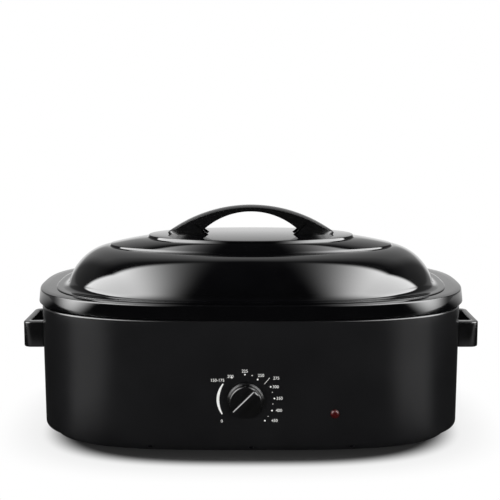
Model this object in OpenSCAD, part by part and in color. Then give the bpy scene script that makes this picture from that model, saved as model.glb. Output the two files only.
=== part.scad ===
// Electric roaster oven: a painted steel body round a heated well, a lift-out
// roasting pan with a wide rolled rim, a wire rack, and a loose domed lid.
// Millimetres, +Z up, front towards -Y, origin on the table under the middle.

/* [Body] */
// Width of the painted body, end to end
body_w = 531; // [440:1:640]
// Depth of the painted body, front to back
body_d = 345; // [300:1:420]
// How square the body is seen from above (2 is an ellipse)
body_square = 3.14; // [2.6:0.02:4]
// Height of the body's top edge above the table
body_top = 164; // [150:1:220]
// Height of the body's lower edge above the table
body_foot = 12; // [10:0.5:18]
// How far the body narrows from its top edge to its lower edge, on each side
body_taper = 1; // [0:0.1:4]
// Thickness of the body's steel sheet
body_sheet = 1; // [0.8:0.1:1.5]
// Radius of the shoulder round the body's top edge
shoulder_r = 6; // [4:0.5:9]

/* [Base] */
// How far the base ring stands in from the body, all round
base_inset = 13.5; // [10:0.5:20]
// How square the base ring is seen from above
base_square = 3.4; // [2.8:0.02:4]
// Height of the base pan's underside above the table
base_clear = 3; // [2:0.5:6]
// Thickness of the base pan's sheet
base_sheet = 1; // [0.8:0.1:1.5]
// Radius of a rubber foot
foot_r = 11; // [8:0.5:16]
// Distance between the feet, left to right
foot_pitch_x = 350; // [260:1:400]
// Distance between the feet, front to back
foot_pitch_y = 190; // [150:1:220]
// Height of the heat shield's underside above the table
shield_z = 30; // [26:0.5:34]
// How far the heat shield's flat stands in from the base ring
shield_inset = 14; // [12:0.5:20]
// Thickness of the heat shield's sheet
shield_sheet = 0.8; // [0.6:0.1:1.2]

/* [Pan] */
// How far the pan's rolled rim reaches past the body
rim_reach = 5.4; // [4:0.1:9]
// How square the rim is seen from above
rim_square = 2.8; // [2.4:0.02:3.2]
// Radius of the rim's roll
rim_roll = 8; // [6:0.5:10]
// Height of the rim's hanging skirt, roll included
rim_skirt = 16; // [14:0.5:17]
// Gap between the body's top edge and the foot of the rim's skirt
rim_gap = 2; // [1:0.5:4]
// Width of the rim at the ends, from the pan's wall to its outer edge
rim_wide_x = 34.9; // [32:0.1:44]
// Width of the rim at the front and back
rim_wide_y = 25; // [23:0.1:34]
// How square the pan is seen from above
pan_square = 2.75; // [2.4:0.01:3.2]
// Depth of the pan, from the top of its rim to its floor
pan_depth = 130; // [100:1:134]
// How far the pan's walls lean in towards its floor
pan_draft = 13; // [8:0.5:18]
// Radius between the pan's walls and its floor
pan_corner = 22; // [14:1:30]
// Thickness of the pan's steel sheet
pan_sheet = 1; // [0.8:0.1:1.6]

/* [Well] */
// Gap between the pan and the heated well
well_gap = 3; // [2:0.5:5]
// Thickness of the well's aluminised sheet
well_sheet = 0.8; // [0.6:0.1:1.2]
// Gap between the pan's floor and the well's floor
well_floor_gap = 4; // [3:0.5:6]
// How far the well's collar stands in from the edge of the rim
collar_inset = 13; // [12.6:0.1:13.4]

/* [Heater] */
// Height of the heating band
band_h = 62; // [40:1:66]
// Height of the band's lower edge above the table
band_z = 86; // [82:0.5:90]
// Thickness of the heating band
band_t = 2.4; // [1.6:0.1:3.5]
// Thickness of the glass fibre blanket
blanket_t = 7; // [4:0.5:9]
// Height of the blanket
blanket_h = 60; // [40:1:62]
// Height of the blanket's lower edge above the band's lower edge
blanket_lift = 11; // [10:0.5:14]
// Gap that loose inner parts keep from each other
seat_gap = 0.2; // [0.1:0.05:0.3]

/* [Lid] */
// Height of the lid's crown above the rim
lid_rise = 62.8; // [50:0.1:80]
// Height of the lid's outer step above the rim
step_out_z = 47.4; // [40:0.1:50]
// Height of the lid's inner step above the rim
step_in_z = 58; // [54:0.1:60]
// Half length of the lid's inner step
step_in_a = 134.5; // [125:0.5:150]
// Half depth of the lid's inner step
step_in_b = 74; // [60:0.5:76]
// Half length of the lid's outer step
step_out_a = 184; // [170:0.5:195]
// Half depth of the lid's outer step
step_out_b = 86; // [80:0.5:100]
// Height of the inner step
step_in_h = 3.4; // [2:0.1:4]
// Height of the outer step
step_out_h = 2.4; // [1.5:0.1:3]
// Width of the lid's flat flange on the rim, at the ends
flange_x = 14.8; // [10:0.1:17]
// Width of the lid's flat flange on the rim, at the front
flange_y = 14.8; // [10:0.1:16]
// How far the lid's flange edge stands in from the rim's edge
flange_inset = 22; // [20:0.1:24]
// Width of flat rim left in front of the lid's flange
flange_inset_y = 12; // [11:0.1:16]
// Thickness of the lid's steel sheet
lid_sheet = 0.9; // [0.7:0.1:1.4]

/* [Lid handle] */
// Length of the lid handle
grip_l = 215; // [190:1:230]
// Width of the lid handle
grip_w = 30; // [24:1:38]
// Height of the lid handle above the lid's crown
grip_h = 36.8; // [32:0.1:44]
// Thickness of the handle's arch at its middle
grip_t = 7.4; // [6:0.1:10]
// Half length of the opening under the arch
grip_open = 62; // [50:1:66]
// Distance between the handle's screws
grip_screw_pitch = 164; // [150:1:172]

/* [Side handles] */
// How far a side handle reaches out from the body
side_reach = 26; // [22:0.5:34]
// Length of a side handle, front to back
side_l = 92; // [80:1:110]
// Height of a side handle
side_h = 33; // [20:1:36]
// Height of a side handle's top above the table
side_top = 136; // [110:1:140]
// Thickness of the bar that the fingers hold
side_bar = 8; // [6:0.5:9]
// Thickness of the two arms at the ends of the bar
side_arm = 13; // [11:0.5:16]
// Radius of a side handle's outer corners
side_corner = 10; // [4:0.5:12]

/* [Control] */
// How far left of the middle the knob sits
knob_left = 6; // [0:1:20]
// Height of the knob's centre above the table
knob_z = 69.5; // [66:0.5:72]
// Radius of the knob
knob_r = 21.5; // [20:0.5:26]
// How far the knob stands out from the body
knob_stand = 20; // [18:0.5:26]
// Radius of the thermostat's shaft
shaft_r = 3; // [2.5:0.25:3.5]
// Running clearance round the shaft, on the radius
shaft_play = 0.05; // [0.03:0.01:0.08]
// Depth of the thermostat's ceramic body
stat_d = 15; // [12:0.5:16]
// Width of the thermostat's ceramic body
stat_w = 32; // [28:1:34]
// Height of the thermostat's ceramic body
stat_h = 26; // [22:1:28]

/* [Indicator] */
// How far right of the middle the indicator sits
lamp_right = 98.7; // [80:0.5:120]
// Height of the indicator above the table
lamp_z = 52; // [45:0.5:60]
// Radius of the indicator's lens
lens_r = 5.2; // [4.5:0.1:7]

/* [Mains entry] */
// How far right of the middle the lead enters at the back, seen from the front
gland_x = 60; // [40:1:80]
// Height of the lead's entry above the table
gland_z = 38; // [34:0.5:44]
// Radius of the lead that the gland is bored for
lead_r = 4.2; // [3.5:0.1:5]
// How far the gland stands out from the body
gland_stand = 16; // [12:0.5:20]

/* [Rack] */
// Radius of the rack's frame wire
rack_wire = 2.5; // [2:0.25:3]
// Radius of the rack's cross wires
rack_bar = 1.6; // [1.25:0.25:2]
// Gap between the pan's wall and the rack, at the rack's height
rack_gap = 15; // [12:1:20]
// Number of cross wires
rack_bars = 9; // [7:1:11]
// Height of the rack's feet above the pan's floor
rack_stand = 10; // [8:0.5:14]
// Height of the rack's lifting loops above the rack
rack_loop_h = 62; // [40:1:66]
// Length of a lifting loop
rack_loop_l = 84; // [60:1:100]

/* [Screws] */
// Radius of the screws that hold handles, feet and shield
screw_r = 2; // [1.75:0.05:2.2]
// Radius of the thinner screws that hold the lid's handle
grip_screw_r = 1.75; // [1.5:0.05:1.75]
// Clearance round a screw's shank, on the radius
screw_play = 0.25; // [0.2:0.05:0.4]
// Radius of a screw's head
head_r = 4; // [3.5:0.1:4.4]
// Height of a screw's head
head_h = 2.2; // [1.8:0.1:2.6]
// Radius of the self-tapping screws round the base
tap_r = 1.6; // [1.4:0.05:1.9]
// Radius of a self-tapping screw's head
tap_head_r = 3; // [2.6:0.1:3.2]

/* [Hidden] */

seg = 64;
fine = 48;
eps = 0.01;
// How far a cut runs past the face that it opens
over = 1;

// Plans, each [half width, half depth, squareness]
body_plan = [body_w / 2, body_d / 2, body_square];
base_plan = [body_w / 2 - base_inset, body_d / 2 - base_inset, base_square];
rim_plan = [body_w / 2 + rim_reach, body_d / 2 + rim_reach, rim_square];
pan_plan = [rim_plan[0] - rim_wide_x, rim_plan[1] - rim_wide_y, pan_square];
well_plan = [pan_plan[0] + well_gap, pan_plan[1] + well_gap, pan_square];
flange_plan = [rim_plan[0] - flange_inset, rim_plan[1] - flange_inset_y, rim_square];
dome_plan = [flange_plan[0] - flange_x, flange_plan[1] - flange_y, pan_square];
shield_plan = [base_plan[0] - shield_inset, base_plan[1] - shield_inset, base_square];

// Heights
skirt_z = body_top + rim_gap;
rim_top = skirt_z + rim_skirt;
pan_under = rim_top - pan_sheet;
pan_floor = rim_top - pan_depth;
well_floor = pan_floor - pan_sheet - well_floor_gap;
base_floor = base_clear + base_sheet;
rack_z = pan_floor + rack_stand;

// ---- plans and pressed sheets ----

function signed_pow(v, e) = v == 0 ? 0 : sign(v) * pow(abs(v), e);

// Points of one level ring [z, half width, half depth, squareness]
function ring_points(r) = [for (i = [0:seg - 1]) let (t = 360 * i / seg)
    [r[1] * signed_pow(cos(t), 2 / r[3]), r[2] * signed_pow(sin(t), 2 / r[3]), r[0]]];

// Rings that follow a plan, from profile points [offset outwards, z]
function rings(plan, profile) = [for (p = profile) [p[1], plan[0] + p[0], plan[1] + p[0], plan[2]]];

// Half depth of a plan at x, and half width at y, with an offset outwards
function plan_y(plan, x, off = 0) =
    (plan[1] + off) * pow(1 - pow(abs(x) / (plan[0] + off), plan[2]), 1 / plan[2]);
function plan_x(plan, y, off = 0) =
    (plan[0] + off) * pow(1 - pow(abs(y) / (plan[1] + off), plan[2]), 1 / plan[2]);

// An arc of profile points about [offset, z]
function arc(o, z, r, from, to, steps) =
    [for (i = [0:steps]) let (t = from + (to - from) * i / steps) [o + r * cos(t), z + r * sin(t)]];

// The same rings moved by t to the left of the way they run
function side_rings(r, t) = [for (i = [0:len(r) - 1])
    let (p = r[max(i - 1, 0)], q = r[min(i + 1, len(r) - 1)])
    let (run = [q[1] - p[1], q[0] - p[0]], long = norm(run))
    [r[i][0] + t * run[0] / long, r[i][1] - t * run[1] / long, r[i][2] - t * run[1] / long, r[i][3]]];

function reversed(list) = [for (i = [len(list) - 1:-1:0]) list[i]];

// A closed skin through the rings, with the metal to the left of the way they run
module skin(r, hoop = false) {
    count = len(r);
    last = hoop ? count - 1 : count - 2;
    walls = [for (j = [0:last], i = [0:seg - 1])
        let (k = (j + 1) % count, n = (i + 1) % seg)
        each [[j * seg + i, k * seg + i, k * seg + n], [j * seg + i, k * seg + n, j * seg + n]]];
    caps = hoop ? [] : [[for (i = [0:seg - 1]) i],
        [for (i = [seg - 1:-1:0]) (count - 1) * seg + i]];
    polyhedron([for (one = r) each ring_points(one)], concat(walls, caps));
}

// A sheet pressed along the rings; t is its thickness, to their left if above 0
module pressed(r, t, hoop = false) {
    skin(t > 0 ? concat(r, reversed(side_rings(r, t))) : concat(side_rings(r, t), reversed(r)), hoop);
}

// A cylinder that runs towards +Y from a point
module rod_y(x, y, z, r, len) {
    translate([x, y, z]) rotate([-90, 0, 0]) cylinder(r = r, h = len, $fn = fine);
}

// A cylinder that runs towards +X from a point
module rod_x(x, y, z, r, len) {
    translate([x, y, z]) rotate([0, 90, 0]) cylinder(r = r, h = len, $fn = fine);
}

// A cylinder that runs towards +Z from a point
module rod_z(x, y, z, r, len) {
    translate([x, y, z]) cylinder(r = r, h = len, $fn = fine);
}

// ---- body ----

body_slope = body_taper / (body_top - shoulder_r - body_foot);
shelf_in = 13;
hem_in = 12;
base_flange_in = 5;
hem_r = 2;

// Outer face of the body at a height, as an offset from the body's plan
function body_off(z) = -body_slope * (body_top - shoulder_r - z);

body_outside = rings(body_plan, concat(
    [[-hem_in, body_foot], [body_off(body_foot) - hem_r, body_foot]],
    arc(body_off(body_foot) - hem_r, body_foot + hem_r, hem_r, -45, 0, 1),
    arc(-shoulder_r, body_top - shoulder_r, shoulder_r, 0, 90, 3),
    [[-shelf_in, body_top]]));

front_y = -plan_y(body_plan, knob_left, body_off(knob_z));
lamp_y = -plan_y(body_plan, lamp_right, body_off(lamp_z));
gland_y = plan_y(body_plan, gland_x, body_off(gland_z));
side_z = side_top - side_h / 2;
side_screw_y = side_l / 2 - side_arm / 2;
side_screw_x = plan_x(body_plan, side_screw_y, body_off(side_z));
drill_l = 14;
bushing_r = 4.6;
stat_screw_in = 2.5;
stat_screw_pitch = stat_w - 2 * stat_screw_in;
stat_screw_r = 1.5;
lens_shoulder = 1.1;
lens_stem_r = lens_r - lens_shoulder;
gland_wall = 2.6;
gland_stem_r = lead_r + gland_wall;
bracket_w = 16;
bracket_x = 120;
bracket_at = [for (i = [-1:1], s = [-1, 1]) [i * bracket_x, s]];
bracket_hole_in = (hem_in + base_flange_in) / 2;

function bracket_y(b) = b[1] * (plan_y(body_plan, b[0]) - bracket_hole_in);

module outer_shell() {
    color([0.1, 0.1, 0.11])
    difference() {
        pressed(body_outside, body_sheet, hoop = true);
        rod_y(-knob_left, front_y - drill_l / 2, knob_z, bushing_r + seat_gap, drill_l);
        for (s = [-1, 1])
            rod_y(-knob_left + s * stat_screw_pitch / 2, front_y - drill_l / 2, knob_z,
                stat_screw_r + screw_play, drill_l);
        rod_y(lamp_right, lamp_y - drill_l / 2, lamp_z, lens_stem_r + seat_gap, drill_l);
        rod_y(gland_x, gland_y - drill_l / 2, gland_z, gland_stem_r + seat_gap, drill_l);
        for (sx = [-1, 1], sy = [-1, 1])
            rod_x(sx * side_screw_x - drill_l / 2, sy * side_screw_y, side_z, screw_r + screw_play, drill_l);
        for (b = bracket_at)
            rod_z(b[0], bracket_y(b), body_foot - over, tap_r + screw_play, body_sheet + 2 * over);
    }
}

// Feet of steel angle that back the shell's lower edge where the base is screwed on
bracket_t = 3;
bracket_d = 7;

module base_brackets() {
    color([0.6, 0.61, 0.62])
    for (b = bracket_at)
        difference() {
            translate([b[0], bracket_y(b), body_foot + body_sheet + bracket_t / 2])
                cube([bracket_w, bracket_d, bracket_t], center = true);
            rod_z(b[0], bracket_y(b), body_foot, tap_r, body_sheet + bracket_t + over);
        }
}

// ---- base ----

base_wall_r = 4;
// How far in from the edge the flat middle of a pressed floor starts
floor_in = 110;
base_under = concat(
    rings(base_plan, concat([[-floor_in, base_clear]],
        arc(-base_wall_r, base_clear + base_wall_r, base_wall_r, -90, 0, 3),
        [[0, body_foot - base_sheet]])),
    rings(body_plan, [[-base_flange_in, body_foot - base_sheet]]));
foot_at = [for (sx = [-1, 1], sy = [-1, 1]) [sx * foot_pitch_x / 2, sy * foot_pitch_y / 2]];
vent_l = 60;
vent_w = 5;
vent_pitch = 14;
earth_at = [gland_x + 45, 85];

module base_pan() {
    color([0.09, 0.09, 0.1])
    difference() {
        pressed(base_under, base_sheet);
        for (f = foot_at)
            rod_z(f[0], f[1], base_clear - over, screw_r + screw_play, base_sheet + 2 * over);
        for (b = bracket_at)
            rod_z(b[0], bracket_y(b), body_foot - base_sheet - over, tap_r + screw_play,
                base_sheet + 2 * over);
        rod_z(earth_at[0], earth_at[1], base_clear - over, screw_r + screw_play, base_sheet + 2 * over);
        for (sx = [-1, 1], i = [-2:2])
            translate([sx * foot_pitch_x / 4, i * vent_pitch, base_clear])
                cube([vent_l, vent_w, 4 * base_sheet], center = true);
    }
}

module base_screws() {
    color([0.55, 0.56, 0.58])
    for (b = bracket_at) {
        rod_z(b[0], bracket_y(b), body_foot - base_sheet - head_h, tap_head_r, head_h);
        rod_z(b[0], bracket_y(b), body_foot - base_sheet - eps, tap_r,
            base_sheet + body_sheet + bracket_t + eps);
    }
}

foot_recess = 1.6;

module rubber_feet() {
    color([0.05, 0.05, 0.05])
    for (f = foot_at)
        difference() {
            rod_z(f[0], f[1], 0, foot_r, base_clear);
            rod_z(f[0], f[1], -over, head_r + screw_play, foot_recess + over);
            rod_z(f[0], f[1], 0, screw_r + screw_play, base_clear + over);
        }
}

foot_head_h = 1.2;
// How deep the screws bite into a post, and the room left past their ends
post_bite = 8;
post_room = 1;

module foot_screws() {
    color([0.55, 0.56, 0.58])
    for (f = foot_at) {
        rod_z(f[0], f[1], foot_recess - foot_head_h, head_r, foot_head_h);
        rod_z(f[0], f[1], foot_recess - eps, screw_r, base_floor + post_bite - foot_recess);
    }
}

// ---- heat shield on its posts ----

post_r = 5;

module shield_posts() {
    color([0.6, 0.61, 0.62])
    for (f = foot_at)
        difference() {
            rod_z(f[0], f[1], base_floor, post_r, shield_z - base_floor);
            rod_z(f[0], f[1], base_floor - over, screw_r, over + post_bite + post_room);
            rod_z(f[0], f[1], shield_z - post_bite - post_room, screw_r, post_bite + post_room + over);
        }
}

shield_lip = 5;
shield_in = 90;

module heat_shield() {
    color([0.75, 0.76, 0.77])
    difference() {
        pressed(rings(shield_plan, [[-shield_in, shield_z], [0, shield_z],
            [shield_lip, shield_z + shield_lip]]), shield_sheet);
        for (f = foot_at)
            rod_z(f[0], f[1], shield_z - over, screw_r + screw_play, shield_sheet + 2 * over);
    }
}

module shield_screws() {
    color([0.55, 0.56, 0.58])
    for (f = foot_at) {
        rod_z(f[0], f[1], shield_z + shield_sheet, head_r, head_h);
        rod_z(f[0], f[1], shield_z - post_bite, screw_r, post_bite + shield_sheet + eps);
    }
}

// ---- heated well ----

well_corner = pan_corner + well_gap;
// The well's wall ends below the rim, then flares out into the collar
wall_top = rim_top - 6;
wall_flare = 1;
collar_r = 1;

well_under = concat(
    rings(well_plan, concat([[-floor_in, well_floor - well_sheet]],
        arc(-pan_draft - well_corner, well_floor - well_sheet + well_corner, well_corner, -90, 0, 3),
        [[0, wall_top], [wall_flare, pan_under - well_sheet]])),
    rings(rim_plan, [[-collar_inset - well_sheet - collar_r, pan_under - well_sheet],
        [-collar_inset - well_sheet, pan_under - well_sheet - collar_r],
        [-collar_inset - well_sheet, body_top]]));

module inner_well() {
    color([0.66, 0.67, 0.68])
    pressed(well_under, well_sheet);
}

// Slope of the well's wall, as the steps its rings take between its corner and its top
well_corner_z = well_floor - well_sheet + well_corner;
function wall_off(z) = -pan_draft * (wall_top - z) / (wall_top - well_corner_z);

// A wrap round the well's wall, from one height to another, at a distance from it
module wrap(z0, z1, off, t) {
    skin(rings(well_plan, [[wall_off(z0) + off, z0], [wall_off(z0) + off + t, z0],
        [wall_off(z1) + off + t, z1], [wall_off(z1) + off, z1]]), hoop = true);
}

module heating_band() {
    color([0.62, 0.6, 0.56])
    wrap(band_z, band_z + band_h, seat_gap, band_t);
}

blanket_z = band_z + blanket_lift;
blanket_off = 2 * seat_gap + band_t;

module insulation_blanket() {
    color([0.85, 0.82, 0.7])
    wrap(blanket_z, blanket_z + blanket_h, blanket_off, blanket_t);
}

// The band's two terminal posts stand on its lower edge, clear of the blanket
post_at = [46, 66];
term_w = 8;
term_h = 7;
term_d = 6;
term_z = band_z + 1;
term_gap = 0.3;

function band_face(x, z) = -plan_y(well_plan, x, wall_off(z) + seat_gap + band_t);

module band_terminals() {
    color([0.82, 0.8, 0.74])
    for (x = post_at)
        translate([x - term_w / 2, band_face(x, term_z + term_h) - term_d - term_gap, term_z])
            cube([term_w, term_d, term_h]);
}

// ---- side handles ----

// A side handle's outline, from the middle of the body out to its bar
module side_outline(w, l, r) {
    hull() {
        translate([0, -l / 2]) square([w - r, l]);
        for (s = [-1, 1]) translate([w - r, s * (l / 2 - r)]) circle(r = r, $fn = 32);
    }
}

side_out = body_w / 2 + side_reach;
side_seat = 0.15;
side_hole = 12;
side_inner_r = 4;

module side_handle(s) {
    color([0.07, 0.07, 0.07])
    difference() {
        translate([0, 0, side_top - side_h]) linear_extrude(side_h)
            mirror([s < 0 ? 1 : 0, 0])
            difference() {
                side_outline(side_out, side_l, side_corner);
                side_outline(side_out - side_bar, side_l - 2 * side_arm, side_inner_r);
                polygon([for (p = ring_points(rings(body_plan, [[side_seat, 0]])[0])) [p[0], p[1]]]);
            }
        for (sy = [-1, 1])
            rod_x(s * (side_screw_x + side_hole / 2) - side_hole / 2 - over, sy * side_screw_y, side_z,
                screw_r, side_hole + 2 * over);
    }
}

module left_side_handle() {
    side_handle(-1);
}

module right_side_handle() {
    side_handle(1);
}

washer_t = 1.5;
washer_rim = 1.5;
side_washer_gap = 0.7;
side_head_x = side_screw_x - body_sheet - washer_t - side_washer_gap;
side_bite = 12;

module side_handle_washers() {
    color([0.55, 0.56, 0.58])
    for (sx = [-1, 1], sy = [-1, 1])
        difference() {
            rod_x(sx * (side_head_x + washer_t / 2) - washer_t / 2, sy * side_screw_y, side_z,
                head_r + washer_rim, washer_t);
            rod_x(sx * (side_head_x + washer_t / 2) - washer_t, sy * side_screw_y, side_z,
                screw_r + screw_play, 2 * washer_t);
        }
}

module side_handle_screws() {
    color([0.55, 0.56, 0.58])
    for (sx = [-1, 1], sy = [-1, 1]) {
        rod_x(sx * (side_head_x - head_h / 2) - head_h / 2, sy * side_screw_y, side_z, head_r, head_h);
        rod_x(sx * (side_head_x + side_bite / 2) - side_bite / 2 - eps, sy * side_screw_y, side_z,
            screw_r, side_bite + 2 * eps);
    }
}

// ---- thermostat and knob ----

plate_t = 1.5;
plate_w = 40;
plate_h = 30;
// Gap left between the plate and the wall's curve behind the dial
plate_gap = 0.45;
plate_y = front_y + body_sheet + plate_gap;
bushing_out = 0.4;
stat_y = plate_y + plate_t;
shaft_bite = 9;
shaft_in = stat_y + shaft_bite;
knob_gap = 0.8;
knob_back = front_y - knob_gap;
knob_face = front_y - knob_stand;
knob_skirt = 6;
knob_step = 1.5;
knob_taper = 1.5;
hub_r = 6.4;
knob_wall = 2.4;
knob_hollow_r = knob_r - knob_wall;
knob_hollow = 5;
ridge_w = 9;
ridge_z = 7;
ridge_half = knob_r - knob_step - knob_taper;
flat_at = shaft_r * 0.5;
clip_t = 0.5;
clip_w = 1.2 * shaft_r;
clip_end = 1;
bore_end = 0.2;
knob_bore = 11;
off_angle = 225;

module thermostat_plate() {
    color([0.62, 0.63, 0.64])
    difference() {
        union() {
            translate([-knob_left - plate_w / 2, plate_y, knob_z - plate_h / 2])
                cube([plate_w, plate_t, plate_h]);
            rod_y(-knob_left, front_y - bushing_out, knob_z, bushing_r, stat_y - front_y + bushing_out);
        }
        rod_y(-knob_left, front_y - bushing_out - over, knob_z, shaft_r + shaft_play,
            stat_y - front_y + bushing_out + 2 * over);
        for (s = [-1, 1])
            rod_y(-knob_left + s * stat_screw_pitch / 2, plate_y - over, knob_z,
                stat_screw_r, plate_t + 2 * over);
    }
}

// The ceramic body clears the turning shaft and the ends of its screws
shaft_room = 0.4;
stat_screw_room = 0.5;
stat_screw_out = 1.5;

module thermostat_body() {
    color([0.88, 0.86, 0.8])
    difference() {
        translate([-knob_left - stat_w / 2, stat_y, knob_z - stat_h / 2]) cube([stat_w, stat_d, stat_h]);
        rod_y(-knob_left, stat_y - over, knob_z, shaft_r + shaft_room, shaft_bite + 2 * over);
        for (s = [-1, 1])
            rod_y(-knob_left + s * stat_screw_pitch / 2, stat_y - over, knob_z,
                stat_screw_r + stat_screw_room, stat_screw_out + 2 * over);
    }
}

stat_head_r = 2.7;
stat_head_h = 1.6;
stat_head_gap = 0.1;

module thermostat_screws() {
    color([0.55, 0.56, 0.58])
    for (s = [-1, 1]) {
        rod_y(-knob_left + s * stat_screw_pitch / 2, front_y - stat_head_h - stat_head_gap, knob_z,
            stat_head_r, stat_head_h);
        rod_y(-knob_left + s * stat_screw_pitch / 2, front_y - stat_head_gap - eps, knob_z,
            stat_screw_r, stat_y + stat_screw_out - front_y);
    }
}

// The shaft's flat faces the knob's pointer, so both are turned together
module turned_to_pointer() {
    translate([-knob_left, 0, knob_z]) rotate([0, off_angle, 0]) children();
}

module thermostat_shaft() {
    color([0.8, 0.8, 0.8])
    turned_to_pointer()
    difference() {
        rod_y(0, knob_back - knob_bore, 0, shaft_r, shaft_in - knob_back + knob_bore);
        translate([-shaft_r - over, knob_back - knob_bore - over, flat_at])
            cube([2 * (shaft_r + over), knob_bore + over, shaft_r]);
    }
}

module knob_spring_clip() {
    color([0.7, 0.7, 0.7])
    turned_to_pointer()
    translate([-clip_w / 2, knob_back - knob_bore + clip_end, flat_at + seat_gap / 2])
        cube([clip_w, knob_bore - 2 * clip_end, clip_t]);
}

module control_knob() {
    color([0.06, 0.06, 0.06])
    turned_to_pointer()
    difference() {
        union() {
            rod_y(0, knob_back - knob_skirt, 0, knob_r, knob_skirt);
            translate([0, knob_back - knob_skirt + eps, 0]) rotate([90, 0, 0])
                cylinder(r1 = knob_r - knob_step, r2 = ridge_half,
                    h = knob_stand - knob_gap - knob_skirt - ridge_z + eps, $fn = fine);
            translate([-ridge_w / 2, knob_face, -ridge_half])
                cube([ridge_w, ridge_z + eps, 2 * ridge_half]);
        }
        difference() {
            rod_y(0, knob_back - knob_hollow, 0, knob_hollow_r, knob_hollow + over);
            rod_y(0, knob_back - knob_hollow - over, 0, hub_r, knob_hollow + 3 * over);
        }
        difference() {
            rod_y(0, knob_back - knob_bore - bore_end, 0, shaft_r + shaft_play, knob_bore + bore_end + over);
            translate([-shaft_r - over, knob_back - knob_bore - over, flat_at + clip_t + seat_gap])
                cube([2 * (shaft_r + over), knob_bore + 3 * over, shaft_r]);
        }
    }
}

// ---- indicator ----

lens_flange = 1.6;
lens_stem = 14;
lamp_r = 2.4;
lamp_l = 16;
lens_seat = 0.55;
lens_dome = 1.6;
lens_bevel = 0.8;
lens_draft = 1.4;
nut_rim = 3.5;
nut_t = 0.8;
nut_gap = 0.9;
tight = 0.05;

module indicator_lens() {
    color([0.35, 0.02, 0.02])
    difference() {
        union() {
            rod_y(lamp_right, lamp_y - lens_seat - lens_flange, lamp_z, lens_r, lens_flange);
            translate([lamp_right, lamp_y - lens_seat - lens_flange + eps, lamp_z]) rotate([90, 0, 0])
                cylinder(r1 = lens_r - lens_bevel, r2 = lens_r - lens_bevel - lens_draft,
                    h = lens_dome, $fn = fine);
            rod_y(lamp_right, lamp_y - lens_seat - eps, lamp_z, lens_stem_r, lens_stem);
        }
        rod_y(lamp_right, lamp_y, lamp_z, lamp_r + seat_gap, lens_stem + over);
    }
}

module indicator_lamp() {
    color([0.9, 0.6, 0.4])
    rod_y(lamp_right, lamp_y + seat_gap, lamp_z, lamp_r, lamp_l);
}

module lamp_push_nut() {
    color([0.7, 0.7, 0.72])
    difference() {
        rod_y(lamp_right, lamp_y + body_sheet + nut_gap, lamp_z, lens_stem_r + nut_rim, nut_t);
        rod_y(lamp_right, lamp_y + body_sheet, lamp_z, lens_stem_r + tight, nut_gap + nut_t + over);
    }
}

// ---- mains entry ----

gland_collar = 3;
gland_collar_r = gland_stem_r + gland_collar;
gland_collar_t = 4;
gland_seat = 0.3;
gland_step = 1;
gland_in = 12;
gland_nut_t = 4;
gland_nut_gap = 0.6;

module cord_gland() {
    color([0.06, 0.06, 0.06])
    difference() {
        union() {
            rod_y(gland_x, gland_y + gland_seat, gland_z, gland_collar_r, gland_collar_t);
            translate([gland_x, gland_y + gland_seat + gland_collar_t - eps, gland_z]) rotate([-90, 0, 0])
                cylinder(r1 = gland_collar_r - gland_step, r2 = gland_stem_r,
                    h = gland_stand - gland_seat - gland_collar_t, $fn = fine);
            rod_y(gland_x, gland_y - gland_in, gland_z, gland_stem_r, gland_in + gland_seat + over);
        }
        rod_y(gland_x, gland_y - gland_in - over, gland_z, lead_r, gland_in + gland_stand + 2 * over);
    }
}

module gland_nut() {
    color([0.06, 0.06, 0.06])
    translate([gland_x, gland_y - body_sheet - gland_nut_gap - gland_nut_t, gland_z]) rotate([-90, 0, 0])
        difference() {
            cylinder(r = gland_stem_r + gland_nut_t, h = gland_nut_t, $fn = 6);
            translate([0, 0, -over])
                cylinder(r = gland_stem_r + tight, h = gland_nut_t + 2 * over, $fn = fine);
        }
}

block_w = 36;
block_d = 20;
block_h = 15;
block_y = 100;
block_pitch = 11;
block_hole = 5;
block_play = 0.3;
clamp_l = 4;
slot_w = 0.8;
slot_deep = 1;

module terminal_block() {
    color([0.92, 0.9, 0.86])
    difference() {
        translate([gland_x - block_w / 2, block_y - block_d / 2, base_floor])
            cube([block_w, block_d, block_h]);
        for (i = [-1:1])
            rod_z(gland_x + i * block_pitch, block_y, base_floor + block_h - block_hole,
                screw_r + block_play, block_hole + over);
    }
}

module terminal_screws() {
    color([0.78, 0.65, 0.3])
    for (i = [-1:1])
        difference() {
            rod_z(gland_x + i * block_pitch, block_y, base_floor + block_h - block_hole, screw_r, clamp_l);
            translate([gland_x + i * block_pitch - slot_w / 2, block_y - screw_r - over,
                base_floor + block_h - block_hole + clamp_l - slot_deep])
                cube([slot_w, 2 * (screw_r + over), slot_deep + over]);
        }
}

earth_tag_t = 1;
earth_tag_r = screw_r + 2.6;
earth_out = 0.5;

module earth_screw() {
    color([0.78, 0.65, 0.3]) {
        rod_z(earth_at[0], earth_at[1], base_floor, earth_tag_r, earth_tag_t);
        rod_z(earth_at[0], earth_at[1], base_floor + earth_tag_t - eps, head_r, head_h);
        rod_z(earth_at[0], earth_at[1], base_clear - earth_out, screw_r, base_sheet + 2 * earth_out);
    }
}

// ---- inner wires ----

wire_r = 1.4;
lamp_wire_r = 0.9;
wire_sides = 8;
wire_steps = 4;
wire_end = 0.3;

// A point of the smooth curve through four points
function smooth(a, b, c, d, t) = 0.5 * (2 * b + (c - a) * t + (2 * a - 5 * b + 4 * c - d) * t * t
    + (3 * b - a - 3 * c + d) * t * t * t);

// A smooth route through hand-set points
function route(p) = concat([for (i = [0:len(p) - 2], k = [0:wire_steps - 1])
    smooth(p[max(i - 1, 0)], p[i], p[i + 1], p[min(i + 2, len(p) - 1)], k / wire_steps)],
    [p[len(p) - 1]]);

function unit(v) = v / norm(v);
function heading(p, i) = unit(p[min(i + 1, len(p) - 1)] - p[max(i - 1, 0)]);

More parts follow.
